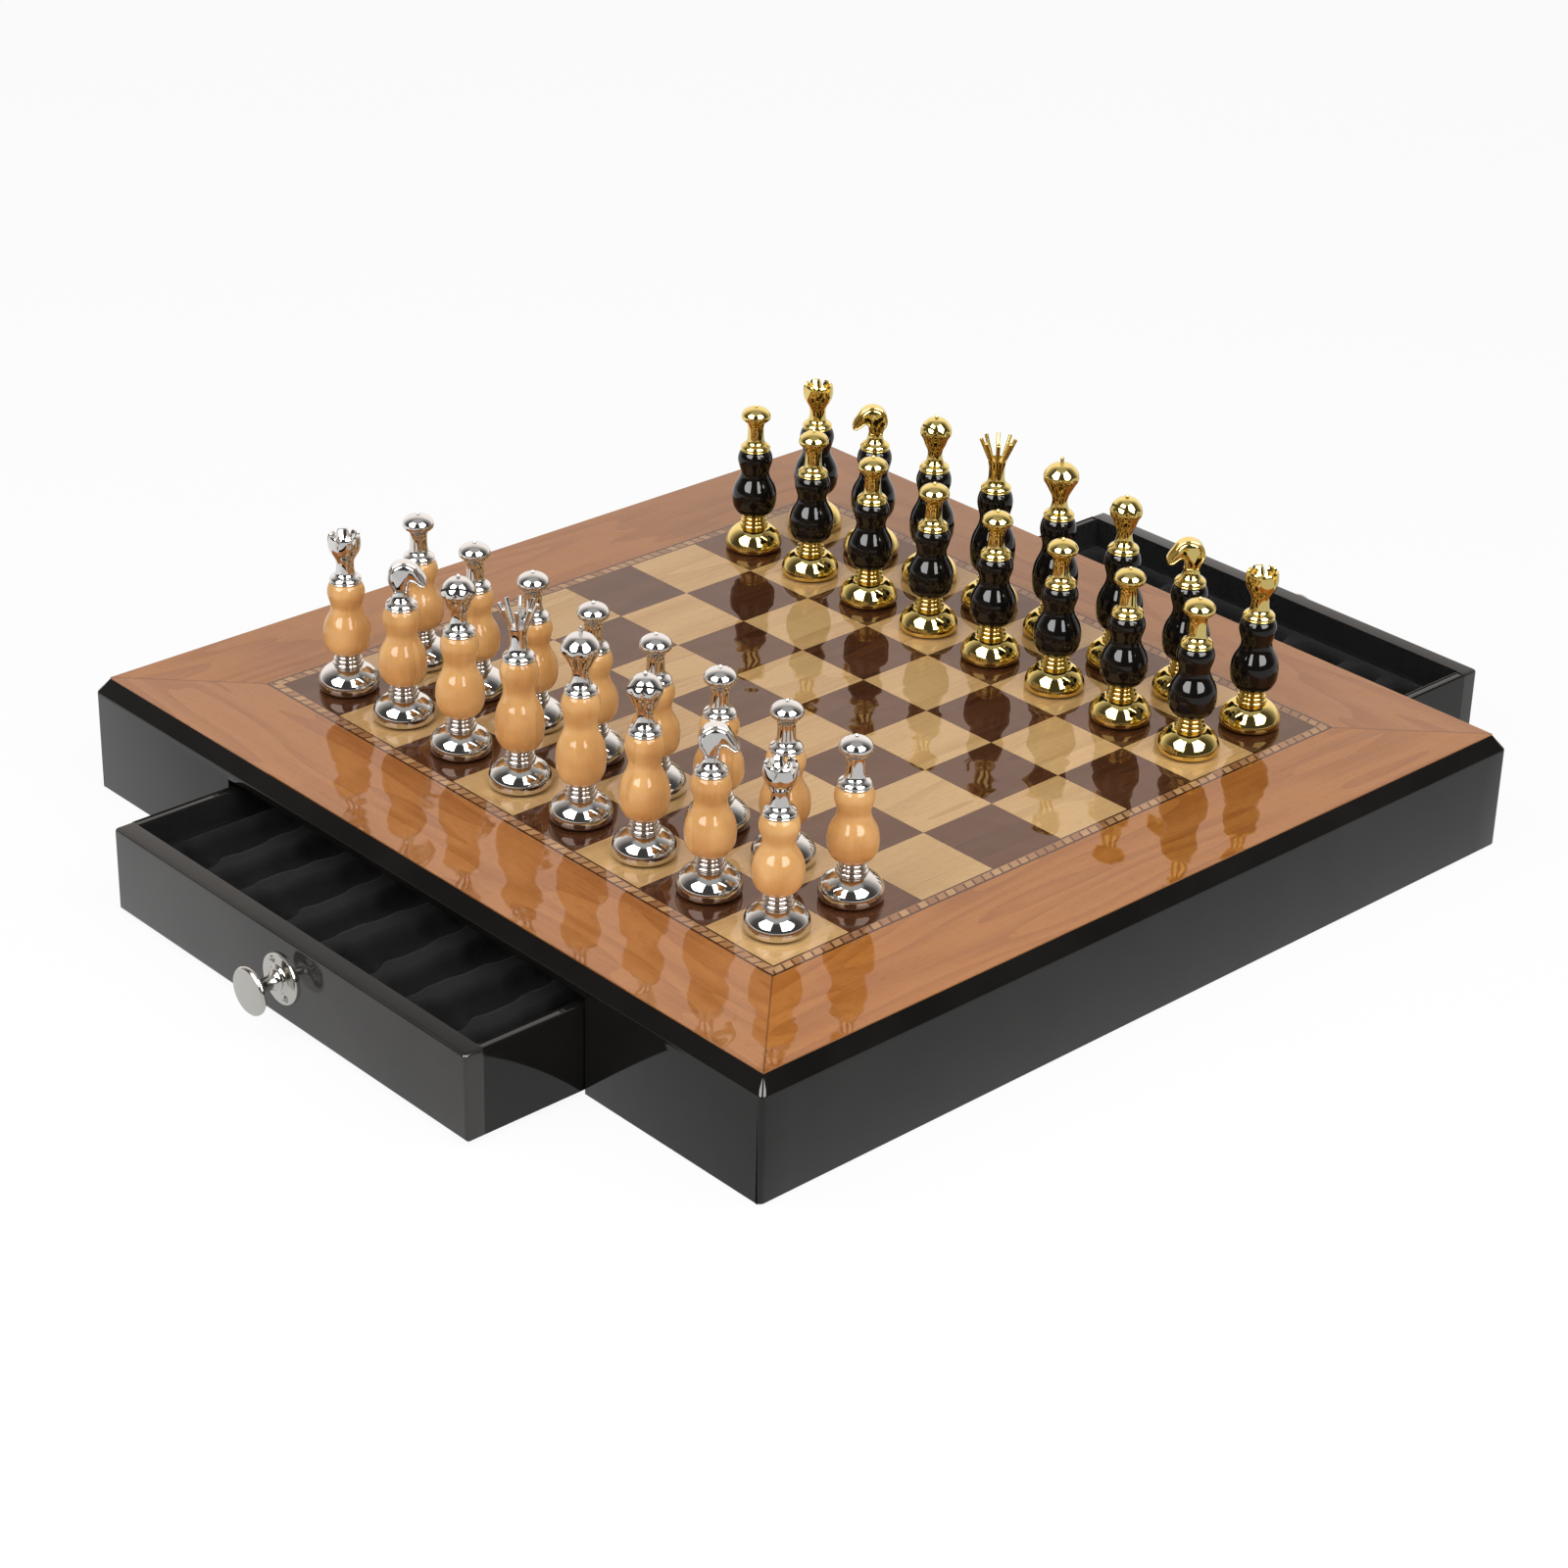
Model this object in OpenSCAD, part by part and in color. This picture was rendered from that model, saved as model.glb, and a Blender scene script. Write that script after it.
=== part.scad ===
// Chess box with two drawers: a lacquered case with a veneered board on top, a drawer
// on the front and one on the rear with moulded trays, and a set of thirty-two men.
// X runs along the front, Y from front to rear, Z up. The origin is on the surface that
// the case stands on, under its centre. The drawers are drawn partly open.

/* [Board] */
// Side of one square
square = 40; // [36:0.5:46]
// Width of the inlaid band round the squares
band_w = 6; // [4:0.5:9]
// Width of the veneer border outside the band
border_w = 49; // [44:0.5:70]
// Thickness of the veneer
veneer_t = 0.6; // [0.5:0.05:1.2]
// Joint between neighbouring squares
veneer_joint = 0.05; // [0.02:0.01:0.1]

/* [Case] */
// Width of the chamfer round the top, measured flat
chamfer_w = 5; // [3:0.5:8]
// Height of that chamfer
chamfer_h = 6.4; // [4:0.2:6.6]
// Thickness of the top panel under the veneer
top_t = 7.4; // [7:0.2:12]
// Height of the wall above a drawer's opening
lintel_h = 2.6; // [1.6:0.2:12]
// Thickness of the walls
wall_t = 15; // [12:0.5:20]
// Radius of the upright outer edges
edge_r = 1.5; // [0.5:0.1:3]
// Thickness of the bottom panel
base_t = 1.3; // [1:0.1:2.5]
// Thickness of the panel between the two drawers
divider_t = 8; // [6:0.5:10]
// Width of a guide strip beside a drawer
guide_w = 10; // [6:0.5:14]
// Height of a guide strip
guide_h = 16; // [8:0.5:24]
// Diameter of a felt foot
foot_d = 24; // [16:1:30]
// Thickness of a felt foot
foot_t = 1; // [0.8:0.1:3]

/* [Drawers] */
// Width of a drawer
drawer_w = 236; // [230:1:250]
// How far the rear drawer's centre lies to the right of the front drawer's
rear_shift = 35; // [0:1:45]
// Height of a drawer, from its underside to its rim
drawer_h = 38.6; // [36:0.2:39.6]
// Thickness of a drawer's face
face_t = 9; // [7:0.5:12]
// Thickness of a drawer's sides
side_t = 5; // [4:0.5:7]
// Thickness of a drawer's back
back_t = 5; // [4:0.5:8]
// Thickness of a drawer's bottom
bottom_t = 3; // [2:0.5:5]
// Gap under a drawer and on each side of it
drawer_gap = 0.5; // [0.3:0.1:1]
// Height of the opening above a drawer's rim
head_gap = 3; // [1:0.5:4]
// How far the drawn front drawer is pulled out
front_pull = 58; // [0:1:120]
// How far the drawn rear drawer is pulled out
rear_pull = 66; // [0:1:120]
// How far a drawer comes out before its back meets the stops
travel = 150; // [120:1:160]
// Clearance left at both ends of that travel
stop_gap = 0.2; // [0.1:0.1:1]
// Height of a drawer's raised back above its rim
back_rise = 4.5; // [4:0.1:5]

/* [Trays] */
// Height of a tray above the drawer's bottom
tray_h = 22; // [20:0.5:24]
// Gap between a tray and the drawer round it
tray_gap = 0.4; // [0.2:0.1:1]
// Room round a man in its pocket
pocket_gap = 0.6; // [0.4:0.1:1.2]

/* [Knobs] */
// Diameter of a knob's disc
knob_d = 21; // [16:0.5:26]
// How far a knob stands out of its plate
knob_l = 15; // [12:0.5:22]
// Diameter of a knob's plate
plate_d = 24; // [20:0.5:30]
// Thickness of a knob's plate
plate_t = 1.6; // [1:0.1:3]
// Diameter of the bolt through the face into a knob
bolt_d = 4; // [3:0.5:5]
// Diameter of that bolt's sunk head
bolt_head_d = 8; // [7:0.5:10]
// Depth of that head in the face
bolt_head_h = 2.4; // [1.6:0.2:3]
// Diameter of a plate screw's head
screw_d = 3.2; // [2.4:0.1:4]
// Diameter of a plate screw's shank
shank_d = 1.6; // [1.2:0.1:2]
// Length of a plate screw's shank in the face
shank_l = 6; // [4:0.5:6.5]

/* [Men] */
// Diameter of a man's base
man_d = 27; // [24:0.5:29]
// Height of a metal base with its ringed neck
foot_h = 18; // [15:0.5:22]
// Diameter of the large lower bulb of a body
bulb_d = 20.8; // [18:0.2:21]
// Diameter of a body's waist
waist_d = 14.4; // [12:0.2:15.6]
// Diameter of the small upper bulb of a body
upper_d = 16.4; // [15:0.2:17.4]
// Diameter of the metal collar on a body
collar_d = 14; // [12.4:0.2:14.6]
// Diameter of the studs that hold a man together
stud_d = 3; // [2:0.5:4]
// Length of a stud
stud_l = 6; // [4:0.5:7]
// Radial clearance round a stud
stud_gap = 0.05; // [0.03:0.01:0.1]
// Thickness of the felt under a man
felt_t = 0.8; // [0.5:0.1:1.5]
// Height of a pawn's turned body
pawn_body_h = 32; // [29:0.5:36]
// Height of a rook's turned body
rook_body_h = 33; // [29:0.5:38]
// Height of a knight's turned body
knight_body_h = 35; // [30:0.5:40]
// Height of a bishop's turned body
bishop_body_h = 37; // [31:0.5:41]
// Height of the king's and the queen's turned bodies
king_body_h = 40; // [34:0.5:42]
// How far a knight is turned from facing the other side
knight_turn = 40; // [0:5:90]

/* [Hidden] */
$fn = 48;
half_turn = 180;
rest_gap = 0.05;        // between a man's felt and the lacquer
seam = 0.02;            // between the pieces that a man is screwed together from
king_head_h = 29.6;     // the tallest head
queen_head_h = 25.5;
files = 8;
field = files * square;
band_out = field + 2 * band_w;
veneer_side = band_out + 2 * border_w;
case_side = veneer_side + 2 * chamfer_w;
base_z = foot_t;
wall_h = base_t + drawer_gap + drawer_h + head_gap + lintel_h;
top_z = base_z + wall_h;
veneer_z = top_z + top_t;
board_z = veneer_z + veneer_t;
inner = case_side / 2 - wall_t;

drawer_z = base_z + base_t + drawer_gap;
rim_z = drawer_z + drawer_h;
opening_w = drawer_w + 2 * drawer_gap;
opening_top = rim_z + head_gap;
drawer_l = case_side / 2 - divider_t / 2 - stop_gap;
cavity_w = drawer_w - 2 * side_t;
cavity_l = drawer_l - face_t - back_t;
floor_z = drawer_z + bottom_t;
tray_w = cavity_w - 2 * tray_gap;
tray_l = cavity_l - 2 * tray_gap;
tray_z = floor_z + tray_h;
// A drawer's back reaches this far from the case's face when it is shut, and the stops
// are placed so that it meets them at the end of its travel.
back_face = drawer_l - back_t;
stop_l = back_face - travel - wall_t - stop_gap;
stop_w = 20;
stop_h = top_z - opening_top;
stop_x = drawer_w / 4;

screw_ring = plate_d * 0.36;
screw_angle = 118;
collar_h = 1.4;         // of the raised collar on a knob's plate
bolt_reach = knob_l * 0.4;
knob_z = drawer_z + drawer_h / 2;

// Name, kind, metal and file of each man on the two rows of a side, with the row's rank.
SIDES = [["silver", 0, 1, 0], ["gold", files - 1, files - 2, half_turn]];
KINDS = ["rook", "knight", "bishop", "queen", "king", "bishop", "knight", "rook"];
LETTERS = ["a", "b", "c", "d", "e", "f", "g", "h"];
function man_name(side, i) =
    (KINDS[i] == "queen" || KINDS[i] == "king") ? str(side, "_", KINDS[i])
                                               : str(side, "_", KINDS[i], "_", LETTERS[i]);
MEN = concat(
    [for (s = SIDES, i = [0 : files - 1]) [man_name(s[0], i), KINDS[i], s[0], i, s[1]]],
    [for (s = SIDES, i = [0 : files - 1])
        [str(s[0], "_pawn_", LETTERS[i]), "pawn", s[0], i, s[2]]]);

lacquer = [0.09, 0.09, 0.09];
velvet = [0.03, 0.03, 0.03];
chrome = [0.8, 0.8, 0.82];
gold = [0.85, 0.65, 0.2];
cherry = [0.76, 0.52, 0.36];
maple = [0.83, 0.68, 0.5];
walnut = [0.28, 0.17, 0.11];
tan_wood = [0.88, 0.63, 0.36];
black_wood = [0.05, 0.04, 0.04];

// ---------------------------------------------------------------- shared shapes

// A block from one corner, by its lowest corner and its size.
module block(at, size) {
    translate(at) cube(size);
}

// A block centred on X and Y, standing on z.
module centred(z, size) {
    translate([-size.x / 2, -size.y / 2, z]) cube(size);
}

// The case's outline, with its four upright edges rounded.
module outline(r) {
    s = case_side / 2;
    difference() {
        square(case_side, center = true);
        for (a = [0 : 90 : 270]) rotate(a) difference() {
            translate([s - r, s - r]) square(2 * r);
            translate([s - r, s - r]) circle(r);
        }
    }
}

// Smooth curve from one profile station to the next, level at both ends.
function ease(p, q, n) =
    [for (i = [0 : n - 1]) let (t = i / n, e = (1 - cos(half_turn * t)) / 2)
        [p.x + (q.x - p.x) * e, p.y + (q.y - p.y) * t]];
// Quarter ellipse that leaves p sideways and reaches q upright.
function swell(p, q, n) =
    [for (i = [0 : n - 1]) let (a = 90 * i / n)
        [p.x + (q.x - p.x) * sin(a), p.y + (q.y - p.y) * (1 - cos(a))]];
// Quarter ellipse that leaves p upright and reaches q sideways.
function close_in(p, q, n) =
    [for (i = [0 : n - 1]) let (a = 90 * i / n)
        [p.x + (q.x - p.x) * (1 - cos(a)), p.y + (q.y - p.y) * sin(a)]];

// ---------------------------------------------------------------- case

module base_panel() color(lacquer)
    centred(base_z, [2 * inner, 2 * inner, base_t]);

module feet() color(velvet)
    for (p = [[0, 0], [1, 1], [1, -1], [-1, 1], [-1, -1]])
        translate([p.x, p.y, 0] * (inner - foot_d)) cylinder(h = foot_t, d = foot_d);

// A wall across the front, with its drawer's opening; shift moves the opening.
module drawer_wall(shift) {
    difference() {
        translate([0, 0, base_z]) linear_extrude(wall_h) outline(edge_r);
        block([-case_side, -inner, -1], [2 * case_side, 2 * case_side, 2 * top_z]);
        translate([shift, -case_side / 2, 0])
            centred(-1, [opening_w, 3 * wall_t, opening_top + 1]);
    }
}

module front_wall() color(lacquer) drawer_wall(0);

module rear_wall() color(lacquer) rotate(half_turn) drawer_wall(-rear_shift);

module side_walls() color(lacquer)
    for (s = [-1, 1])
        translate([s * (inner + wall_t / 2), 0, 0])
            centred(base_z, [wall_t, 2 * inner, wall_h]);

module center_divider() color(maple)
    centred(base_z + base_t, [2 * inner, divider_t, wall_h - base_t]);

// Two strips beside one drawer and the two blocks that stop its back.
module guide_set() {
    from = -inner;
    for (s = [-1, 1]) {
        translate([s * (opening_w + guide_w) / 2, from, base_z + base_t])
            translate([-guide_w / 2, 0, 0]) cube([guide_w, inner - divider_t / 2, guide_h]);
        translate([s * stop_x, from, top_z - stop_h])
            translate([-stop_w / 2, 0, 0]) cube([stop_w, stop_l, stop_h]);
    }
}

module drawer_guides() color(maple) {
    guide_set();
    translate([rear_shift, 0, 0]) rotate(half_turn) guide_set();
}

// A slab whose four upper edges are chamfered, as two crossed extrusions.
module top_panel() color(lacquer) {
    s = case_side / 2;
    shoulder = top_t - chamfer_h;
    profile = [[-s, 0], [s, 0], [s, shoulder], [s - chamfer_w, top_t],
               [chamfer_w - s, top_t], [-s, shoulder]];
    translate([0, 0, top_z]) intersection() {
        translate([0, s, 0]) rotate([90, 0, 0]) linear_extrude(2 * s) polygon(profile);
        translate([-s, 0, 0]) rotate([90, 0, 90]) linear_extrude(2 * s) polygon(profile);
        linear_extrude(top_t) outline(edge_r);
    }
}

// Four strips of veneer, mitred at the corners.
module border_veneer() color(cherry) {
    out = veneer_side / 2;
    in = band_out / 2;
    cut = veneer_joint / 2;
    for (a = [0 : 90 : 270])
        rotate(a) translate([0, 0, veneer_z]) linear_extrude(veneer_t)
            polygon([[cut - out, -out], [out - cut, -out], [in - cut, -in], [cut - in, -in]]);
}

module inlay_band() color(walnut)
    difference() {
        centred(veneer_z, [band_out, band_out, veneer_t]);
        centred(veneer_z - 1, [field, field, veneer_t + 2]);
    }

// Every second square; parity 0 holds the left front corner.
module squares(parity) {
    for (i = [0 : files - 1], j = [0 : files - 1])
        if ((i + j) % 2 == parity)
            translate([(i + 0.5) * square - field / 2, (j + 0.5) * square - field / 2, 0])
                centred(veneer_z, [square - veneer_joint, square - veneer_joint, veneer_t]);
}

module light_squares() color(maple) squares(1);

module dark_squares() color(walnut) squares(0);

// ---------------------------------------------------------------- drawers
// A drawer is drawn pulled out to the front: its face's outer side lies at y = 0 and the
// drawer runs back along +Y. front() and rear() put it in its place.

module front() {
    translate([0, -case_side / 2 - front_pull, 0]) children();
}

module rear() {
    translate([rear_shift, case_side / 2 + rear_pull, 0]) rotate(half_turn) children();
}

// Places its children at both plate screws, with Z pointing out of the face.
module at_plate_screws()
    translate([0, 0, knob_z]) rotate([90, 0, 0])
        for (a = [screw_angle, screw_angle + half_turn])
            rotate(a) translate([screw_ring, 0, 0]) children();

// The face, bored for the knob's bolt and its sunk head, and for the plate's screws.
module face() color(lacquer)
    difference() {
        block([-drawer_w / 2, 0, drawer_z], [drawer_w, face_t, drawer_h]);
        translate([0, -1, knob_z]) rotate([-90, 0, 0])
            cylinder(h = face_t + 2, d = bolt_d + 2 * stud_gap);
        translate([0, face_t - bolt_head_h, knob_z]) rotate([-90, 0, 0])
            cylinder(h = bolt_head_h + 1, d = bolt_head_d + 2 * stud_gap);
        at_plate_screws() translate([0, 0, -shank_l - 0.5])
            cylinder(h = shank_l + 1, d = shank_d + 2 * stud_gap);
    }

module sides() color(lacquer)
    for (s = [-1, 1])
        translate([s * (drawer_w - side_t) / 2, face_t, drawer_z])
            translate([-side_t / 2, 0, 0]) cube([side_t, cavity_l, drawer_h]);

// The back stands higher than the rim, so that it meets the stops.
module back() color(lacquer)
    block([-drawer_w / 2, face_t + cavity_l, drawer_z], [drawer_w, back_t, drawer_h + back_rise]);

module bottom() color(lacquer)
    block([-cavity_w / 2, face_t, drawer_z], [cavity_w, cavity_l, bottom_t]);

// Pocket for one lying man, along +Y from its base, as half of a turned form.
pocket_l = foot_h + king_body_h + king_head_h + 2 * pocket_gap;
pocket_r = man_d / 2 + pocket_gap;
pocket_profile = [
    [0, 0], [pocket_r, 0], [pocket_r, foot_h / 2], [bulb_d / 2 - 1, foot_h],
    [bulb_d / 2 + pocket_gap, foot_h + king_body_h * 0.14],
    [bulb_d / 2 + pocket_gap, foot_h + king_body_h * 0.5],
    [upper_d / 2 + pocket_gap, foot_h + king_body_h * 0.75],
    [upper_d / 2 + pocket_gap, pocket_l - 3], [upper_d / 2 - 2, pocket_l], [0, pocket_l]];

module pocket() {
    rotate([-90, 0, 0]) rotate_extrude() polygon(pocket_profile);
}

// The tray: two rows of eight pockets, every second man lying the other way round.
module tray() color(velvet) {
    pitch = tray_w / files;
    row_y = (tray_l - 2 * pocket_l) / 3;
    difference() {
        block([-tray_w / 2, face_t + tray_gap, floor_z], [tray_w, tray_l, tray_h]);
        for (row = [0, 1], i = [0 : files - 1])
            translate([(i + 0.5) * pitch - tray_w / 2,
                       face_t + tray_gap + row_y + row * (pocket_l + row_y), tray_z])
                if (i % 2 == 0) pocket();
                else translate([0, pocket_l, 0]) rotate(half_turn) pocket();
    }
}

// Round plate with a raised collar round the knob's foot, and two screw holes.
module knob_plate() color(chrome)
    difference() {
        translate([0, 0, knob_z]) rotate([90, 0, 0]) rotate_extrude() polygon([
            [bolt_d / 2 + stud_gap, 0], [plate_d / 2, 0], [plate_d / 2, plate_t * 0.6],
            [plate_d / 2 - 1, plate_t], [6.2, plate_t], [5.6, plate_t + collar_h],
            [bolt_d / 2 + stud_gap, plate_t + collar_h]]);
        at_plate_screws() translate([0, 0, -1])
            cylinder(h = plate_t + 2, d = shank_d + 2 * stud_gap);
    }

// Disc on a tapered neck, bored from behind for its bolt.
module knob() color(chrome)
    translate([0, -plate_t - collar_h, knob_z]) rotate([90, 0, 0]) difference() {
        rotate_extrude() polygon(concat(
            [[0, 0], [4.6, 0]],
            ease([4.6, 0.6], [2.9, knob_l * 0.45], 5),
            ease([2.9, knob_l * 0.45], [4.2, knob_l - 4], 4),
            [[knob_d / 2 - 0.8, knob_l - 3.4]],
            swell([knob_d / 2 - 0.8, knob_l - 3.4], [knob_d / 2, knob_l - 2.4], 3),
            close_in([knob_d / 2, knob_l - 2.4], [0, knob_l], 6), [[0, knob_l]]));
        translate([0, 0, -1]) cylinder(h = bolt_reach + 1, d = bolt_d + 2 * stud_gap);
    }

// The bolt from inside the drawer, with its sunk head, and the plate's two screws.
module knob_screws() color(chrome) {
    translate([0, face_t - seam, knob_z]) rotate([90, 0, 0]) {
        cylinder(h = bolt_head_h - 2 * seam, d = bolt_head_d);
        cylinder(h = face_t + plate_t + collar_h + bolt_reach - 0.5, d = bolt_d);
    }
    at_plate_screws() {
        translate([0, 0, plate_t + seam]) cylinder(h = 0.6, d = screw_d);
        translate([0, 0, -shank_l]) cylinder(h = shank_l + plate_t + 0.3, d = shank_d);
    }
}

module front_drawer_face() front() face();
module front_drawer_sides() front() sides();
module front_drawer_back() front() back();
module front_drawer_bottom() front() bottom();
module front_drawer_tray() front() tray();
module front_drawer_knob() front() knob();
module front_drawer_knob_plate() front() knob_plate();
module front_drawer_knob_screws() front() knob_screws();
module rear_drawer_face() rear() face();
module rear_drawer_sides() rear() sides();
module rear_drawer_back() rear() back();
module rear_drawer_bottom() rear() bottom();
module rear_drawer_tray() rear() tray();
module rear_drawer_knob() rear() knob();
module rear_drawer_knob_plate() rear() knob_plate();
module rear_drawer_knob_screws() rear() knob_screws();

// ---------------------------------------------------------------- men

// Height of the turned body of each kind.
function body_h(kind) =
    kind == "pawn" ? pawn_body_h : kind == "rook" ? rook_body_h
    : kind == "knight" ? knight_body_h : kind == "bishop" ? bishop_body_h : king_body_h;

module felt() color([0.1, 0.25, 0.15]) cylinder(h = felt_t - seam, d = man_d - 2.4);

// Metal base: an undercut foot, a dome and a neck with three rings that grow smaller
// upwards, with a stud on top.
module metal_base() {
    rim = man_d / 2;
    neck = 6.9;             // radius of the groove over the lowest ring
    step = 0.5;             // by which each ring and groove is smaller than the last
    ring_h = 2.8;
    rings = foot_h - 1.2 - 3 * ring_h;
    rotate_extrude() polygon(concat(
        [[0, felt_t], [rim - 1.8, felt_t]],
        swell([rim - 1.8, felt_t], [rim, felt_t + 2.2], 4),
        close_in([rim, felt_t + 2.2], [rim - 6, rings - 0.8], 7),
        [[rim - 6, rings - 0.8], [neck + step / 2, rings]],
        [for (ring = [0 : 2]) for (p = [[0.9, 0.35], [1.2, 1.1], [0.9, 1.9], [-step, ring_h]])
            [neck - step * ring + p.x, rings + ring * ring_h + p.y]],
        [[neck, foot_h - 0.7], [neck, foot_h], [stud_d / 2, foot_h],
         [stud_d / 2, foot_h + stud_l], [0, foot_h + stud_l]]));
}

// Turned body: a large bulb, a waist and a small bulb, bored at both ends for the studs.
module turned_body(h) {
    seat = 6.6;
    top = collar_d / 2 - 0.5;
    translate([0, 0, foot_h + seam]) difference() {
        rotate_extrude() polygon(concat(
            [[0, 0]],
            swell([seat, 0], [bulb_d / 2, h * 0.27], 6),
            ease([bulb_d / 2, h * 0.27], [waist_d / 2, h * 0.69], 7),
            ease([waist_d / 2, h * 0.69], [upper_d / 2, h * 0.88], 5),
            close_in([upper_d / 2, h * 0.88], [top, h], 4),
            [[top, h], [0, h]]));
        for (z = [-1, h - stud_l - 0.5])
            translate([0, 0, z])
                cylinder(h = stud_l + 1.5, d = stud_d + 2 * stud_gap);
    }
}

// Profile of the collar under every head, from its seat up to a neck of radius r.
function collar(r) = concat(
    [[0, -stud_l], [stud_d / 2, -stud_l], [stud_d / 2, 0], [collar_d / 2 - 0.6, 0]],
    swell([collar_d / 2 - 0.6, 0], [collar_d / 2, 0.8], 2),
    [[collar_d / 2, 1.4]],
    close_in([collar_d / 2, 1.4], [r + 0.9, 4], 4),
    [[r + 0.9, 4.6]],
    ease([r + 0.9, 4.6], [r, 6.4], 2));

// A head turned on the lathe: the collar, then a list of profile points.
module turned_head(r, points) {
    rotate_extrude() polygon(concat(collar(r), points));
}

// Onion of radius b, widest at height z, on a neck of radius r, with a small finial.
function onion(r, b, z, h) = concat(
    [[r, 8]],
    ease([r + 0.2, 9], [b, z], 6),
    close_in([b, z], [1, h - 2.4], 6),
    [[1, h - 2.4], [1.2, h - 1.2], [0.7, h - 0.2], [0, h]]);

module pawn_head() {
    turned_head(3.5, concat(
        [[3.5, 9]],
        ease([3.5, 9], [6.3, 15.8], 4),
        swell([6.3, 15.8], [6.9, 17.2], 3),
        close_in([6.9, 17.2], [0.8, 21.8], 6),
        [[0.8, 21.8], [0.7, 22.6], [0, 22.9]]));
}

// Tulip cup, notched by three crossing wedges into six points.
module rook_head() {
    rim = 22.6;
    floor = 15.4;
    notch = 3.2;
    difference() {
        turned_head(3.6, concat(
            [[3.6, 8]],
            ease([3.6, 8.5], [6.6, floor + 1], 5),
            [[6.6, floor + 1], [7.5, rim - 3], [7.2, rim], [5.9, rim], [5.3, floor + 1.6],
             [0, floor]]));
        for (a = [0 : 60 : 120])
            rotate(a) translate([0, man_d / 2, 0]) rotate([90, 0, 0])
                linear_extrude(man_d)
                    polygon([[0, floor + 2.4], [notch, rim + 1], [-notch, rim + 1]]);
    }
}

// Points along an arc round c from angle a to angle b, ends included.
function arc(c, r, a, b, n) =
    [for (i = [0 : n]) let (t = a + (b - a) * i / n) c + r * [cos(t), sin(t)]];

// Flat horse's head on a turned neck, looking along -X: the neck climbs, arches over and
// comes down to a rounded muzzle.
module knight_head() {
    crest = [-1.6, 14.6];
    crest_r = 7.1;
    muzzle = [-9.4, 11.6];
    muzzle_r = 1.8;
    brow = 150;
    turned_head(3.4, [[3.4, 8], [0, 8]]);
    rotate([90, 0, 0]) linear_extrude(5.4, center = true) polygon(concat(
        [[3.2, 7.5], [3.6, 9.4]],
        arc(crest, crest_r, -25, brow, 12),
        arc(muzzle, muzzle_r, brow, brow + half_turn, 6),
        [[-5.4, 12.8], [-4.2, 13.2], [-3.5, 11.8], [-3.2, 7.5]]));
}

// Smaller onion with one slanting slit.
module bishop_head() {
    bulb = 7.5;
    bulb_z = 19.4;
    slit = 1;
    difference() {
        turned_head(3.2, onion(3.2, bulb, bulb_z, bulb_z + 8.2));
        translate([-bulb * 0.6, 0, bulb_z + 3]) rotate([0, 35, 0])
            centred(-slit / 2, [bulb, 2 * bulb, slit]);
    }
}

// Small cup with eight slender rays.
module queen_head() {
    cup = 4.3;
    cup_z = 14.6;
    ray_d = 1.7;
    ray_tilt = 21;
    seat = cup_z - 0.4;
    turned_head(3.7, [[3.7, 8], [3.7, 12], [cup, cup_z], [cup, cup_z + 1.2], [0, cup_z + 0.2]]);
    for (a = [0 : 45 : 315])
        rotate(a) translate([cup - 1.1, 0, seat]) rotate([0, ray_tilt, 0])
            cylinder(h = (queen_head_h - seat) / cos(ray_tilt), d = ray_d);
}

module king_head() {
    turned_head(3.4, onion(3.4, 8.3, king_head_h - 9.8, king_head_h));
}

module head(kind) {
    if (kind == "pawn") pawn_head();
    if (kind == "rook") rook_head();
    if (kind == "knight") knight_head();
    if (kind == "bishop") bishop_head();
    if (kind == "queen") queen_head();
    if (kind == "king") king_head();
}

// One man on its square: felt, metal base, turned body and metal head.
module man(m) {
    metal = m[2] == "gold" ? gold : chrome;
    wood = m[2] == "gold" ? black_wood : tan_wood;
    facing = m[2] == "gold" ? 90 : -90;
    turn = m[1] == "knight" ? facing - knight_turn : facing;
    translate([(m[3] + 0.5) * square - field / 2, (m[4] + 0.5) * square - field / 2,
               board_z + rest_gap]) {
        felt();
        color(metal) metal_base();
        color(wood) turned_body(body_h(m[1]));
        color(metal) translate([0, 0, foot_h + body_h(m[1]) + 2 * seam])
            rotate(turn) head(m[1]);
    }
}

base_panel();
feet();
front_wall();
rear_wall();
side_walls();
center_divider();
drawer_guides();
top_panel();
border_veneer();
inlay_band();
light_squares();
dark_squares();
front_drawer_face();
front_drawer_sides();
front_drawer_back();
front_drawer_bottom();
front_drawer_tray();
front_drawer_knob();
front_drawer_knob_plate();
front_drawer_knob_screws();
rear_drawer_face();
rear_drawer_sides();
rear_drawer_back();
rear_drawer_bottom();
rear_drawer_tray();
rear_drawer_knob();
rear_drawer_knob_plate();
rear_drawer_knob_screws();
for (m = MEN) man(m);
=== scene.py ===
import math
import bmesh
import bpy
from mathutils import Matrix, Vector


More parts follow.
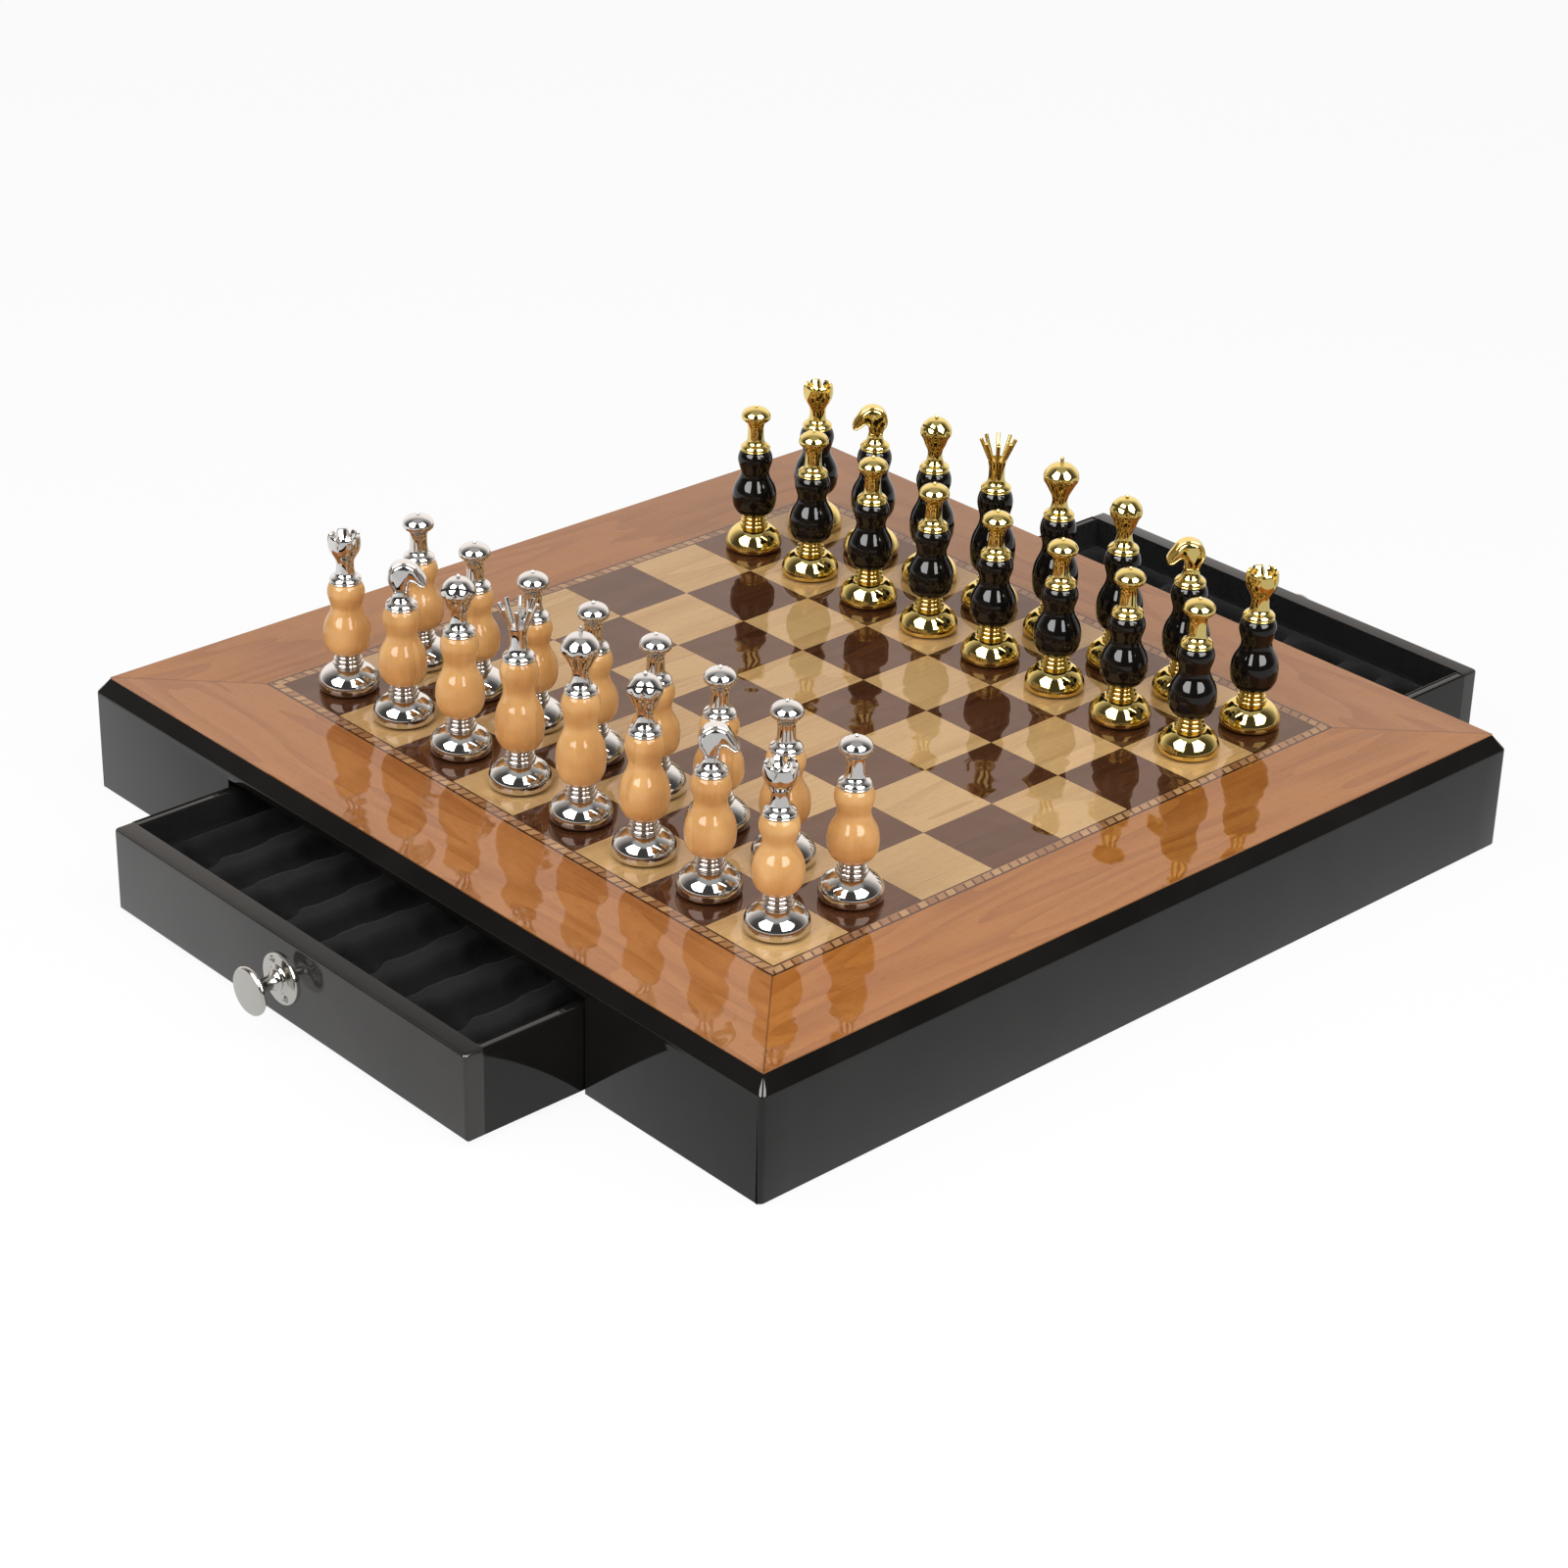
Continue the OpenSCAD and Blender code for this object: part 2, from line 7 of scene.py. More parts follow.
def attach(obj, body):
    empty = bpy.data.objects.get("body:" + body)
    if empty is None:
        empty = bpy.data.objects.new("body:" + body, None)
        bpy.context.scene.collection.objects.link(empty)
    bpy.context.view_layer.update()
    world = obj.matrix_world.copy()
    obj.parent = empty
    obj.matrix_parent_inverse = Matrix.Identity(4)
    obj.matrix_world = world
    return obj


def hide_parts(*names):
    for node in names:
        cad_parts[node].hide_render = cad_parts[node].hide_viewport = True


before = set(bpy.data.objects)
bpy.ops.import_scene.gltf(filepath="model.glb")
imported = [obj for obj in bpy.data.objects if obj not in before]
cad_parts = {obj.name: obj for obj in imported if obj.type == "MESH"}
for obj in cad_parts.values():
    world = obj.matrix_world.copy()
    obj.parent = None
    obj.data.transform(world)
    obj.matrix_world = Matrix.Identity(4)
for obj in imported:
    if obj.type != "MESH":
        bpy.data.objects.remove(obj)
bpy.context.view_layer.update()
mm = 0.001

# ---- camera, floor and light

cameraPlace = {
    "target": (12.785, -18.926, 27.5),  # mm
    "azimuth": 46.842,
    "elevation": 27.595,
    "roll": 1.528,
    "distance": 1617.763,
    "lens": 84.877,
}


def addCamera(place):
    azimuth, elevation, roll = (math.radians(place[k]) for k in ("azimuth", "elevation", "roll"))
    back = Vector((math.sin(azimuth) * math.cos(elevation),
                   -math.cos(azimuth) * math.cos(elevation), math.sin(elevation)))
    level = Vector((0, 0, 1)).cross(back).normalized()
    above = back.cross(level)
    right = math.cos(roll) * level + math.sin(roll) * above
    up = math.cos(roll) * above - math.sin(roll) * level
    bpy.ops.object.camera_add()
    camera = bpy.context.object
    camera.name = "photoCamera"
    camera.data.sensor_width = 36
    camera.data.lens = place["lens"]
    turn = Matrix((right, up, back)).transposed().to_4x4()
    spot = (Vector(place["target"]) + back * place["distance"]) * mm
    camera.matrix_world = Matrix.Translation(spot) @ turn
    bpy.context.scene.camera = camera


def plug(value, socket):
    if isinstance(value, bpy.types.NodeSocket):
        socket.id_data.links.new(value, socket)
    else:
        socket.default_value = value


def addNode(kind, inputs, tree=None, **settings):
    # without a tree it joins the one its inputs come from
    for value in inputs.values():
        if isinstance(value, bpy.types.NodeSocket):
            tree = value.id_data
    node = tree.nodes.new(kind)
    for key, value in settings.items():
        setattr(node, key, value)
    for key, value in inputs.items():
        plug(value, node.inputs[key])
    return node


def calc(operation, *values):
    return addNode("ShaderNodeMath", dict(enumerate(values)), operation=operation).outputs[0]


def vectorCalc(operation, *values, result="Vector"):
    node = addNode("ShaderNodeVectorMath", dict(enumerate(values)), operation=operation)
    return node.outputs[result]


def split(vector):
    return addNode("ShaderNodeSeparateXYZ", {0: vector}).outputs


def combine(*values):
    return addNode("ShaderNodeCombineXYZ", dict(enumerate(values))).outputs[0]


def spread(value, fromLow, fromHigh, toLow=0.0, toHigh=1.0, smooth=False):
    return addNode("ShaderNodeMapRange",
                   {"Value": value, "From Min": fromLow, "From Max": fromHigh,
                    "To Min": toLow, "To Max": toHigh},
                   interpolation_type="SMOOTHSTEP" if smooth else "LINEAR").outputs["Result"]


def blendColour(share, low, high, kind="MIX"):
    low, high = ((*v, 1) if isinstance(v, tuple) else v for v in (low, high))
    return addNode("ShaderNodeMix", {0: share, 6: low, 7: high}, data_type="RGBA",
                   blend_type=kind).outputs[2]


def blendVector(share, low, high):
    return addNode("ShaderNodeMix", {0: share, 4: low, 5: high}, data_type="VECTOR").outputs[1]


studio = {
    "lampPower": 8.6,  # W of each lamp
    "lampSize": 1.02,
    "lampDistance": 1.22,
    "leftLamp": (-0.05, -0.7, 0.71),
    "rightLamp": (0.7, 0.05, 0.71),
    "fill": 0.3,  # what the world adds to a white surface
    "backdropGlow": (1.05, 0.98, 0.93),  # behind the box, in mirror rays
    # shades of the mirrored walls, from the camera's side (0) to behind the box (1)
    "wallShades": [(0.0, 0.05), (0.42, 0.05), (0.55, 0.09), (0.7, 0.35), (0.82, 0.85),
                   (0.9, 1.0)],
    "floorSize": 14.0,
    "floorGlow": 0.93,
    # painted shade: mirror rays see the floor lighter left of the box and darker right of it, as
    # if shaded by the box
    "floorShadeInMirrors": (0.82, 0.56),  # left and right of the box, in mirror rays
    "floorFade": (-0.32, 0.12),  # where along X the first of them becomes the second
    "towardCamera": (0.7295, -0.684, 0.0),
    "towardRight": (0.684, 0.7295, 0.0),
    # the two tall windows that polished surfaces show, in degrees round the camera
    "windowGlow": 9.5,
    "windowGlowLater": 1.3,  # seen in a reflection of a reflection
    "windowMiddle": -2.0,
    "windowInner": 21.0,
    "windowOuter": (52.0, 73.0),  # at its foot, and from windowWide up
    "windowLow": 17.0,
    "windowWide": 34.0,
    "windowHigh": 64.0,
    "ceilingGlow": 0.38,
    "ceilingRise": (52.0, 72.0),
}


def addLamp(name, direction):
    spot = Vector(direction).normalized() * studio["lampDistance"]
    bpy.ops.object.light_add(type="AREA", location=spot)
    lamp = bpy.context.object
    lamp.name = name
    lamp.rotation_euler = spot.to_track_quat("Z", "Y").to_euler()
    lamp.data.shape = "SQUARE"
    lamp.data.size = studio["lampSize"]
    lamp.data.energy = studio["lampPower"]
    lamp.visible_glossy = False


def mirroredRoom(tree, path):
    # what polished surfaces show: white behind the box, dark sides and two windows in front
    direction = addNode("ShaderNodeTexCoord", {}, tree).outputs["Generated"]
    toward, aside = (vectorCalc("DOT_PRODUCT", direction, studio[key], result="Value")
                     for key in ("towardCamera", "towardRight"))
    rise, turn = (calc("MULTIPLY", angle, 180 / math.pi)
                  for angle in (calc("ARCSINE", split(direction)["Z"]),
                                calc("ARCTAN2", aside, toward)))
    off = calc("ABSOLUTE", calc("SUBTRACT", turn, studio["windowMiddle"]))
    inner, low, high = (studio[key] for key in ("windowInner", "windowLow", "windowHigh"))
    outer = spread(rise, low, studio["windowWide"], *studio["windowOuter"])
    window = spread(off, inner - 1, inner + 1)
    for side in (spread(calc("SUBTRACT", outer, off), -1, 1), spread(rise, low - 1, low + 1),
                 spread(rise, high + 1, high - 1)):
        window = calc("MULTIPLY", window, side)
    shade = addNode("ShaderNodeValToRGB", {"Fac": spread(toward, 1, -1)})
    stops = shade.color_ramp.elements
    while len(stops) < len(studio["wallShades"]):
        stops.new(0.5)
    for stop, (place, grey) in zip(stops, studio["wallShades"]):
        stop.position = place
        stop.color = (grey, grey, grey, 1)
    walls = vectorCalc("MULTIPLY", shade.outputs["Color"], studio["backdropGlow"])
    ceiling = spread(rise, *studio["ceilingRise"], 0.0, studio["ceilingGlow"], smooth=True)
    glow = spread(path["Glossy Depth"], 1, 2, studio["windowGlow"], studio["windowGlowLater"])
    return vectorCalc("ADD", vectorCalc("MAXIMUM", walls, ceiling), calc("MULTIPLY", window, glow))


def mirrorRays(path):
    return calc("MAXIMUM", path["Is Glossy Ray"], path["Is Transmission Ray"])


def addWorld():
    world = bpy.context.scene.world or bpy.data.worlds.new("studioWorld")
    bpy.context.scene.world = world
    world.use_nodes = True
    tree = world.node_tree
    tree.nodes.clear()
    path = addNode("ShaderNodeLightPath", {}, tree).outputs
    plain = calc("MAXIMUM", studio["fill"], path["Is Camera Ray"])
    colour = blendVector(mirrorRays(path), plain, mirroredRoom(tree, path))
    sky = addNode("ShaderNodeBackground", {"Color": colour})
    addNode("ShaderNodeOutputWorld", {"Surface": sky.outputs[0]})


def addFloor():
    bpy.ops.mesh.primitive_plane_add(size=studio["floorSize"])
    floor = bpy.context.object
    floor.name = "studioFloor"
    paper = bpy.data.materials.new("whitePaper")
    paper.use_nodes = True
    tree = paper.node_tree
    tree.nodes.clear()
    across = split(addNode("ShaderNodeTexCoord", {}, tree).outputs["Object"])["X"]
    path = addNode("ShaderNodeLightPath", {}, tree).outputs
    mirrorRay = mirrorRays(path)
    # painted shade: in mirror rays the floor darkens along X towards the right of the box
    mirrorShade = spread(across, *studio["floorFade"], *studio["floorShadeInMirrors"])
    strength = calc("MULTIPLY_ADD", mirrorRay, calc("SUBTRACT", mirrorShade, 1.0), 1.0)
    share = calc("MAXIMUM", mirrorRay,
                 calc("MULTIPLY", path["Is Camera Ray"], studio["floorGlow"]))
    matt = addNode("ShaderNodeBsdfDiffuse", {"Color": (0.9, 0.9, 0.9, 1)}, tree)
    glow = addNode("ShaderNodeEmission", {"Strength": strength})
    both = addNode("ShaderNodeMixShader", {0: share, 1: matt.outputs[0], 2: glow.outputs[0]})
    addNode("ShaderNodeOutputMaterial", {"Surface": both.outputs[0]})
    floor.data.materials.append(paper)


bpy.context.scene.view_settings.view_transform = "Standard"
addCamera(cameraPlace)
addLamp("leftLamp", studio["leftLamp"])
addLamp("rightLamp", studio["rightLamp"])
addWorld()
addFloor()
print("camera and stage are ready")

# ---- shared patterns


def newGroup(name, sizes, outputs):
    # it takes a vector and some numbers, and puts out numbers
    tree = bpy.data.node_groups.new(name, "ShaderNodeTree")
    tree.interface.new_socket("Vector", in_out="INPUT", socket_type="NodeSocketVector")
    for side, labels in (("INPUT", sizes), ("OUTPUT", outputs)):
        for label in labels:
            tree.interface.new_socket(label, in_out=side, socket_type="NodeSocketFloat")
    start = tree.nodes.new("NodeGroupInput")
    end = tree.nodes.new("NodeGroupOutput")
    return tree, start.outputs, end.inputs


def noise(vector, scale, detail, roughness=0.5):
    return addNode("ShaderNodeTexNoise",
                   {"Vector": vector, "Scale": scale, "Detail": detail,
                    "Roughness": roughness}).outputs["Fac"]


def stretched(vector, across, along):
    return vectorCalc("MULTIPLY", vector, combine(across, along, across))


def makeGrain():
    # grain runs along Y of the vector; the outputs lie between 0 and 1
    tree, given, result = newGroup("woodGrain", ["Figure Width", "Rings", "Streak Width"],
                                   ["Figure", "Streaks", "Pores"])
    vector = given["Vector"]
    perFigure, perStreak = (calc("DIVIDE", 1000.0, given[label])
                            for label in ("Figure Width", "Streak Width"))
    slow = stretched(vector, perFigure, calc("MULTIPLY", perFigure, 0.13))
    saw = calc("FRACT", calc("MULTIPLY", noise(slow, 1.0, 1.5, 0.4), given["Rings"]))
    edge = spread(saw, 0.0, 0.8, 1.0, 0.0, smooth=True)
    plug(calc("MULTIPLY", edge, spread(saw, 1.0, 0.9)), result["Figure"])
    fine = stretched(vector, perStreak, calc("MULTIPLY", perStreak, 0.03))
    plug(spread(noise(fine, 1.0, 3.0, 0.65), 0.3, 0.7), result["Streaks"])
    pore = vectorCalc("MULTIPLY", vector, (2600.0, 190.0, 2600.0))
    plug(spread(noise(pore, 1.0, 1.0), 0.6, 0.7), result["Pores"])
    return tree


def makePolish():
    # a slow swell and a fine orange peel for the bump, and smudges for the roughness
    tree, given, result = newGroup("polish", ["Swell Size"], ["Height", "Smudge"])
    vector = given["Vector"]
    swell = noise(vector, calc("DIVIDE", 1000.0, given["Swell Size"]), 0.0)
    peel = noise(vector, 900.0, 1.0)
    plug(calc("MULTIPLY_ADD", peel, 0.006, swell), result["Height"])
    plug(spread(noise(vector, 32.0, 1.5), 0.35, 0.75), result["Smudge"])
    return tree


def makeNap():
    # short fibres of velvet and felt
    tree, given, result = newGroup("nap", [], ["Height", "Lay"])
    vector = given["Vector"]
    tuft = addNode("ShaderNodeTexVoronoi", {"Vector": vector, "Scale": 900.0})
    plug(calc("ADD", noise(vector, 2600.0, 2.0), tuft.outputs["Distance"]), result["Height"])
    plug(spread(noise(vector, 60.0, 3.0), 0.35, 0.65), result["Lay"])
    return tree


grain, polish, nap = makeGrain(), makePolish(), makeNap()


def useGroup(group, **inputs):
    inputs = {label.replace("_", " "): value for label, value in inputs.items()}
    return addNode("ShaderNodeGroup", inputs, node_tree=group).outputs


def newMaterial(name, **plain):
    material = bpy.data.materials.new(name)
    material.use_nodes = True
    tree = material.node_tree
    surface = tree.nodes["Principled BSDF"].inputs
    for label, value in plain.items():
        surface[label.replace("_", " ")].default_value = value
    place = addNode("ShaderNodeTexCoord", {}, tree).outputs["Object"]
    return material, surface, place


def setBump(surface, height, strength, distance):
    bump = addNode("ShaderNodeBump",
                   {"Height": height, "Strength": strength, "Distance": distance})
    plug(bump.outputs[0], surface["Normal"])


def addPolish(surface, place, swell, roughness, strength, distance):
    # a smudge raises the roughness from its first value to its second
    shine = useGroup(polish, Vector=place, Swell_Size=swell)
    plug(spread(shine["Smudge"], 0, 1, *roughness), surface["Roughness"])
    setBump(surface, shine["Height"], strength, distance)
    return shine["Smudge"]


def tint(base, mask, share, colour):
    # where the mask is 1, this share of the base becomes the colour
    return blendColour(calc("MULTIPLY", mask, share), base, colour)


# ---- materials


def makeLacquer(name, colour, lighter, roughness, ior):
    material, surface, place = newMaterial(name, IOR=ior)
    smudge = addPolish(surface, place, swell=30.0, roughness=(roughness, roughness * 1.6),
                       strength=0.25, distance=0.00006)
    plug(blendColour(smudge, colour, lighter), surface["Base Color"])
    return material


def finishVeneer(surface, place, colour):
    # a thick amber varnish, a little wavy
    surface["IOR"].default_value = 1.78
    surface["Specular Tint"].default_value = (1, 0.58, 0.42, 1)
    plug(colour, surface["Base Color"])
    addPolish(surface, place, swell=10.0, roughness=(0.02, 0.04), strength=0.6, distance=0.00028)


def fromMiddle(place):
    # X and Y, their distances from the board's middle, and a mask of the sides left and right
    part = split(place)
    x, y = (calc("ABSOLUTE", part[axis]) for axis in "XY")
    return part["X"], part["Y"], x, y, calc("GREATER_THAN", x, y)


border = {
    "wood": (0.37, 0.148, 0.044),
    "figure": (0.285, 0.10, 0.027),
    "streaks": (0.42, 0.183, 0.062),
    "pores": (0.16, 0.055, 0.022),
    "sideTint": (1.0, 0.93, 0.66),  # makes the strips left and right a little more orange
    "joint": (0.10, 0.035, 0.014),  # along the mitres
    "jointHalf": (0.00025, 0.0007),  # m, where it starts to fade and where it ends
}


def makeBorderVeneer():
    material, surface, place = newMaterial("cherryBorder")
    placeX, placeY, x, y, sideways = fromMiddle(place)
    turned = blendVector(sideways, combine(placeY, placeX, 0.5), place)
    wood = useGroup(grain, Vector=turned, Figure_Width=26.0, Rings=7.0, Streak_Width=1.6)
    base = blendColour(wood["Figure"], border["wood"], border["figure"])
    base = tint(base, wood["Streaks"], 0.5, border["streaks"])
    base = tint(base, wood["Pores"], 0.4, border["pores"])
    base = blendColour(sideways, base, border["sideTint"], "MULTIPLY")
    gap = calc("ABSOLUTE", calc("SUBTRACT", x, y))
    joint = spread(gap, *border["jointHalf"], 0.7, 0.0)
    base = blendColour(joint, base, border["joint"])
    finishVeneer(surface, place, base)
    return material


def makeSquares(name, low, high, streak, toneSpread):
    material, surface, place = newMaterial(name)
    # each square, 25 to the metre, has its own piece of wood and its own tone
    cell = vectorCalc("FLOOR", vectorCalc("MULTIPLY", place, (25.0, 25.0, 0.0)))
    chance = addNode("ShaderNodeTexWhiteNoise", {"Vector": cell}, noise_dimensions="3D")
    shifted = vectorCalc("ADD", place, chance.outputs["Color"])
    wood = useGroup(grain, Vector=shifted, Figure_Width=30.0, Rings=4.0, Streak_Width=1.5)
    base = blendColour(wood["Figure"], high, low)
    base = tint(base, wood["Streaks"], 0.6, streak)
    base = tint(base, wood["Pores"], 0.25, tuple(c * 0.45 for c in low))
    tone = spread(chance.outputs["Value"], 0, 1, 1 - toneSpread, 1 + toneSpread)
    base = addNode("ShaderNodeVectorMath", {0: base, "Scale": tone}, operation="SCALE").outputs[0]
    finishVeneer(surface, place, base)
    return material


inlay = {
    "inner": 160.0,  # mm
    "width": 6.0,
    "block": 5.2,
    "slant": 2.2,
    "divider": 0.78,  # share of a block where its dark end starts
    "stringing": 0.31,  # shares of the width, from the band's middle
    "darkLine": 0.37,
    "outerLine": 0.82,  # share of the width, from the squares
    "blockWoods": ((0.27, 0.125, 0.05), (0.54, 0.33, 0.15)),
    "dividerWoods": ((0.07, 0.025, 0.011), (0.13, 0.05, 0.024)),
    "stringWood": (0.36, 0.18, 0.08),
    "lineWood": (0.02, 0.007, 0.004),
    "streaks": (0.2, 0.09, 0.05),
}


def makeInlay():
    material, surface, place = newMaterial("marquetryBand")
    placeX, placeY, x, y, sideways = fromMiddle(place)
    # 0 at the squares, 1 at the border
    across = spread(calc("MAXIMUM", x, y), inlay["inner"] * mm,
                    (inlay["inner"] + inlay["width"]) * mm)
    along = calc("ADD", calc("MULTIPLY", placeY, sideways),
                 calc("MULTIPLY", placeX, calc("SUBTRACT", 1.0, sideways)))
    slant = calc("MULTIPLY_ADD", across, inlay["slant"] * mm, along)
    step = calc("DIVIDE", slant, inlay["block"] * mm)
    chance = addNode("ShaderNodeTexWhiteNoise", {"W": calc("FLOOR", step)},
                     noise_dimensions="1D").outputs["Value"]
    light, dark = (blendColour(chance, *inlay[key]) for key in ("blockWoods", "dividerWoods"))
    divider = calc("GREATER_THAN", calc("FRACT", step), inlay["divider"])
    base = blendColour(divider, light, dark)
    # stringing and a dark line close the band on both sides
    middle = calc("ABSOLUTE", calc("SUBTRACT", across, 0.5))
    base = blendColour(calc("GREATER_THAN", middle, inlay["stringing"]), base, inlay["stringWood"])
    line = calc("MAXIMUM", calc("GREATER_THAN", middle, inlay["darkLine"]),
                calc("GREATER_THAN", across, inlay["outerLine"]))
    base = blendColour(line, base, inlay["lineWood"])
    wood = useGroup(grain, Vector=place, Figure_Width=20.0, Rings=3.0, Streak_Width=1.0)
    base = tint(base, wood["Streaks"], 0.25, inlay["streaks"])
    finishVeneer(surface, place, base)
    return material


def makeMetal(name, colour, darker, roughness):
    material, surface, place = newMaterial(name, Metallic=1.0)
    smudge = addPolish(surface, place, swell=6.0, roughness=(roughness, roughness * 2.2),
                       strength=0.08, distance=0.00002)
    plug(tint(colour, smudge, 0.5, darker), surface["Base Color"])
    return material


def makeTurnedWood(name, light, dark, streak, ior, figure, roughness):
    material, surface, place = newMaterial(name, IOR=ior)
    part = split(place)
    upright = combine(part["X"], part["Z"], part["Y"])
    wood = useGroup(grain, Vector=upright, Figure_Width=13.0, Rings=3.0, Streak_Width=1.1)
    cloud = spread(noise(place, 55.0, 2.0), 0.35, 0.65)
    base = blendColour(cloud, light, dark)
    base = tint(base, wood["Figure"], figure, streak)
    base = tint(base, wood["Streaks"], 0.3, light)
    plug(base, surface["Base Color"])
    addPolish(surface, place, swell=8.0, roughness=(roughness, roughness * 1.5), strength=0.2,
              distance=0.00003)
    return material


# heights of the velvet's lands, which are painted lighter as if lit
litLandHeights = {"fadeIn": (0.0235, 0.0268), "fadeOut": (0.0292, 0.0282)}  # m above the ground


def makeFabric(name, colour, lighter, sheen, paintedLandLight=None):
    material, surface, place = newMaterial(name, Roughness=0.95, Sheen_Weight=sheen,
                                           Sheen_Roughness=0.35, Specular_IOR_Level=0.2)
    fibres = useGroup(nap, Vector=place)
    base = blendColour(fibres["Lay"], colour, lighter)
    if paintedLandLight:
        # painted light: the lands between the hollows are painted lighter, as if they caught more
        # light
        height = split(place)["Z"]
        land = calc("MULTIPLY", spread(height, *litLandHeights["fadeIn"], smooth=True),
                    spread(height, *litLandHeights["fadeOut"]))
        base = blendColour(land, base, paintedLandLight)
    plug(base, surface["Base Color"])
    setBump(surface, fibres["Height"], 0.6, 0.0002)
    return material


def makeRawWood():
    material, surface, place = newMaterial("planedWood", Specular_IOR_Level=0.3)
    wood = useGroup(grain, Vector=place, Figure_Width=22.0, Rings=5.0, Streak_Width=1.4)
    base = blendColour(wood["Figure"], (0.58, 0.42, 0.25), (0.44, 0.29, 0.15))
    plug(tint(base, wood["Streaks"], 0.5, (0.64, 0.48, 0.30)), surface["Base Color"])
    plug(spread(wood["Streaks"], 0, 1, 0.75, 0.6), surface["Roughness"])
    setBump(surface, wood["Streaks"], 0.3, 0.0002)
    return material


blackLacquer = ((0.006, 0.0056, 0.005), (0.010, 0.009, 0.008))
finishes = {
    "caseLacquer": makeLacquer("blackLacquer", *blackLacquer, roughness=0.045, ior=1.5),
    # painted reflection: the drawer faces get a lighter copy of the black lacquer, standing in for
    # the floor they mirror
    "faceLacquerPaintedLight": makeLacquer("faceLacquerPaintedLight", (0.025, 0.023, 0.0215), (0.034, 0.0315, 0.0295),
                               roughness=0.05, ior=1.66),
    "rimLacquer": makeLacquer("rimLacquer", *blackLacquer, roughness=0.045, ior=1.34),
    "border": makeBorderVeneer(),
    "inlay": makeInlay(),
    "light": makeSquares("mapleSquares", (0.47, 0.275, 0.105), (0.565, 0.355, 0.15),
                         (0.62, 0.415, 0.19), toneSpread=0.05),
    "dark": makeSquares("walnutSquares", (0.042, 0.014, 0.006), (0.075, 0.027, 0.011),
                        (0.11, 0.045, 0.019), toneSpread=0.12),
    "silver": makeMetal("polishedSilver", (0.86, 0.85, 0.83), (0.78, 0.76, 0.73),
                        roughness=0.035),
    "gold": makeMetal("polishedGold", (0.93, 0.74, 0.26), (0.85, 0.63, 0.20), roughness=0.04),
    "nickel": makeMetal("satinNickel", (0.70, 0.68, 0.64), (0.62, 0.60, 0.56), roughness=0.09),
    "tan": makeTurnedWood("tanWood", (0.80, 0.475, 0.19), (0.61, 0.31, 0.10),
                          (0.50, 0.22, 0.065), ior=1.43, figure=0.4, roughness=0.07),
    "black": makeTurnedWood("blackWood", (0.006, 0.005, 0.004), (0.004, 0.003, 0.003),
                            (0.008, 0.006, 0.005), ior=1.46, figure=0.3, roughness=0.02),
    # painted light: the last colour brightens the lands between the tray's hollows
    "velvet": makeFabric("blackVelvet", (0.003, 0.003, 0.003), (0.0055, 0.0055, 0.0055),
                         sheen=0.03, paintedLandLight=(0.009, 0.009, 0.009)),
    "felt": makeFabric("darkFelt", (0.02, 0.022, 0.02), (0.035, 0.037, 0.035), sheen=0.1),
    "rawWood": makeRawWood(),
}
print("materials are ready")

# ---- modelling helpers


def choose(*pieces):
    # all of them are selected and the first is active
    bpy.ops.object.select_all(action="DESELECT")
    for piece in pieces:
        piece.select_set(True)
    bpy.context.view_layer.objects.active = pieces[0]


def settle():
    bpy.ops.object.transform_apply(location=True, rotation=True, scale=True)


def newPiece(name):
    piece = bpy.context.object
    piece.name = piece.data.name = name
    settle()
    return piece


def copyOf(piece):
    choose(piece)
    bpy.ops.object.duplicate(linked=False)
    return bpy.context.object


def joinAll(pieces, name):
    choose(*pieces)
    settle()
    bpy.ops.object.join()
    pieces[0].name = pieces[0].data.name = name
    return pieces[0]


def edit():
    bpy.ops.object.mode_set(mode="EDIT")


def leaveEdit():
    bpy.ops.object.mode_set(mode="OBJECT")


def middle(item):
    corners = [v.co for v in item.verts]
    return sum(corners, Vector()) / len(corners) / mm


def selectAll(kind):
    bpy.ops.mesh.select_mode(type=kind)
    bpy.ops.mesh.select_all(action="SELECT")


def pick(kind, test):
    # selects the vertices, edges or faces that pass the test
    bpy.ops.mesh.select_mode(type=kind)
    bpy.ops.mesh.select_all(action="DESELECT")
    form = bmesh.from_edit_mesh(bpy.context.object.data)
    form.normal_update()
    for item in {"VERT": form.verts, "EDGE": form.edges, "FACE": form.faces}[kind]:
        if test(item):
            item.select_set(True)
    form.select_flush_mode()
    bmesh.update_edit_mesh(bpy.context.object.data)


def ends(edge):
    return [v.co / mm for v in edge.verts]


def near(a, b, slack=0.02):
    return abs(a - b) < slack


def lies(edge, axis, place):
    # both ends are at this place on the axis, in mm
    return all(near(getattr(p, axis), place) for p in ends(edge))


def level(edge, axis):
    # both ends are equally far along the axis
    return near(*(getattr(p, axis) for p in ends(edge)))


def push(step):
    bpy.ops.mesh.extrude_region_move(TRANSFORM_OT_translate={"value": Vector(step) * mm})


def widen(x, y, **centre):
    bpy.ops.transform.resize(value=(x, y, 1), **centre)


def roundEdges(test, radius, segments):
    pick("EDGE", test)
    bpy.ops.mesh.bevel(offset=radius * mm, segments=segments, affect="EDGES")


def addBlock(name, low, high):
    low, high = Vector(low) * mm, Vector(high) * mm
    bpy.ops.mesh.primitive_cube_add(size=1, location=(low + high) / 2, scale=high - low)
    return newPiece(name)


def tidyMesh():
    selectAll("VERT")
    bpy.ops.mesh.remove_doubles(threshold=0.004 * mm)
    bpy.ops.mesh.normals_make_consistent(inside=False)


def smoothShade(piece, angle):
    choose(piece)
    bpy.ops.object.shade_smooth_by_angle(angle=math.radians(angle))


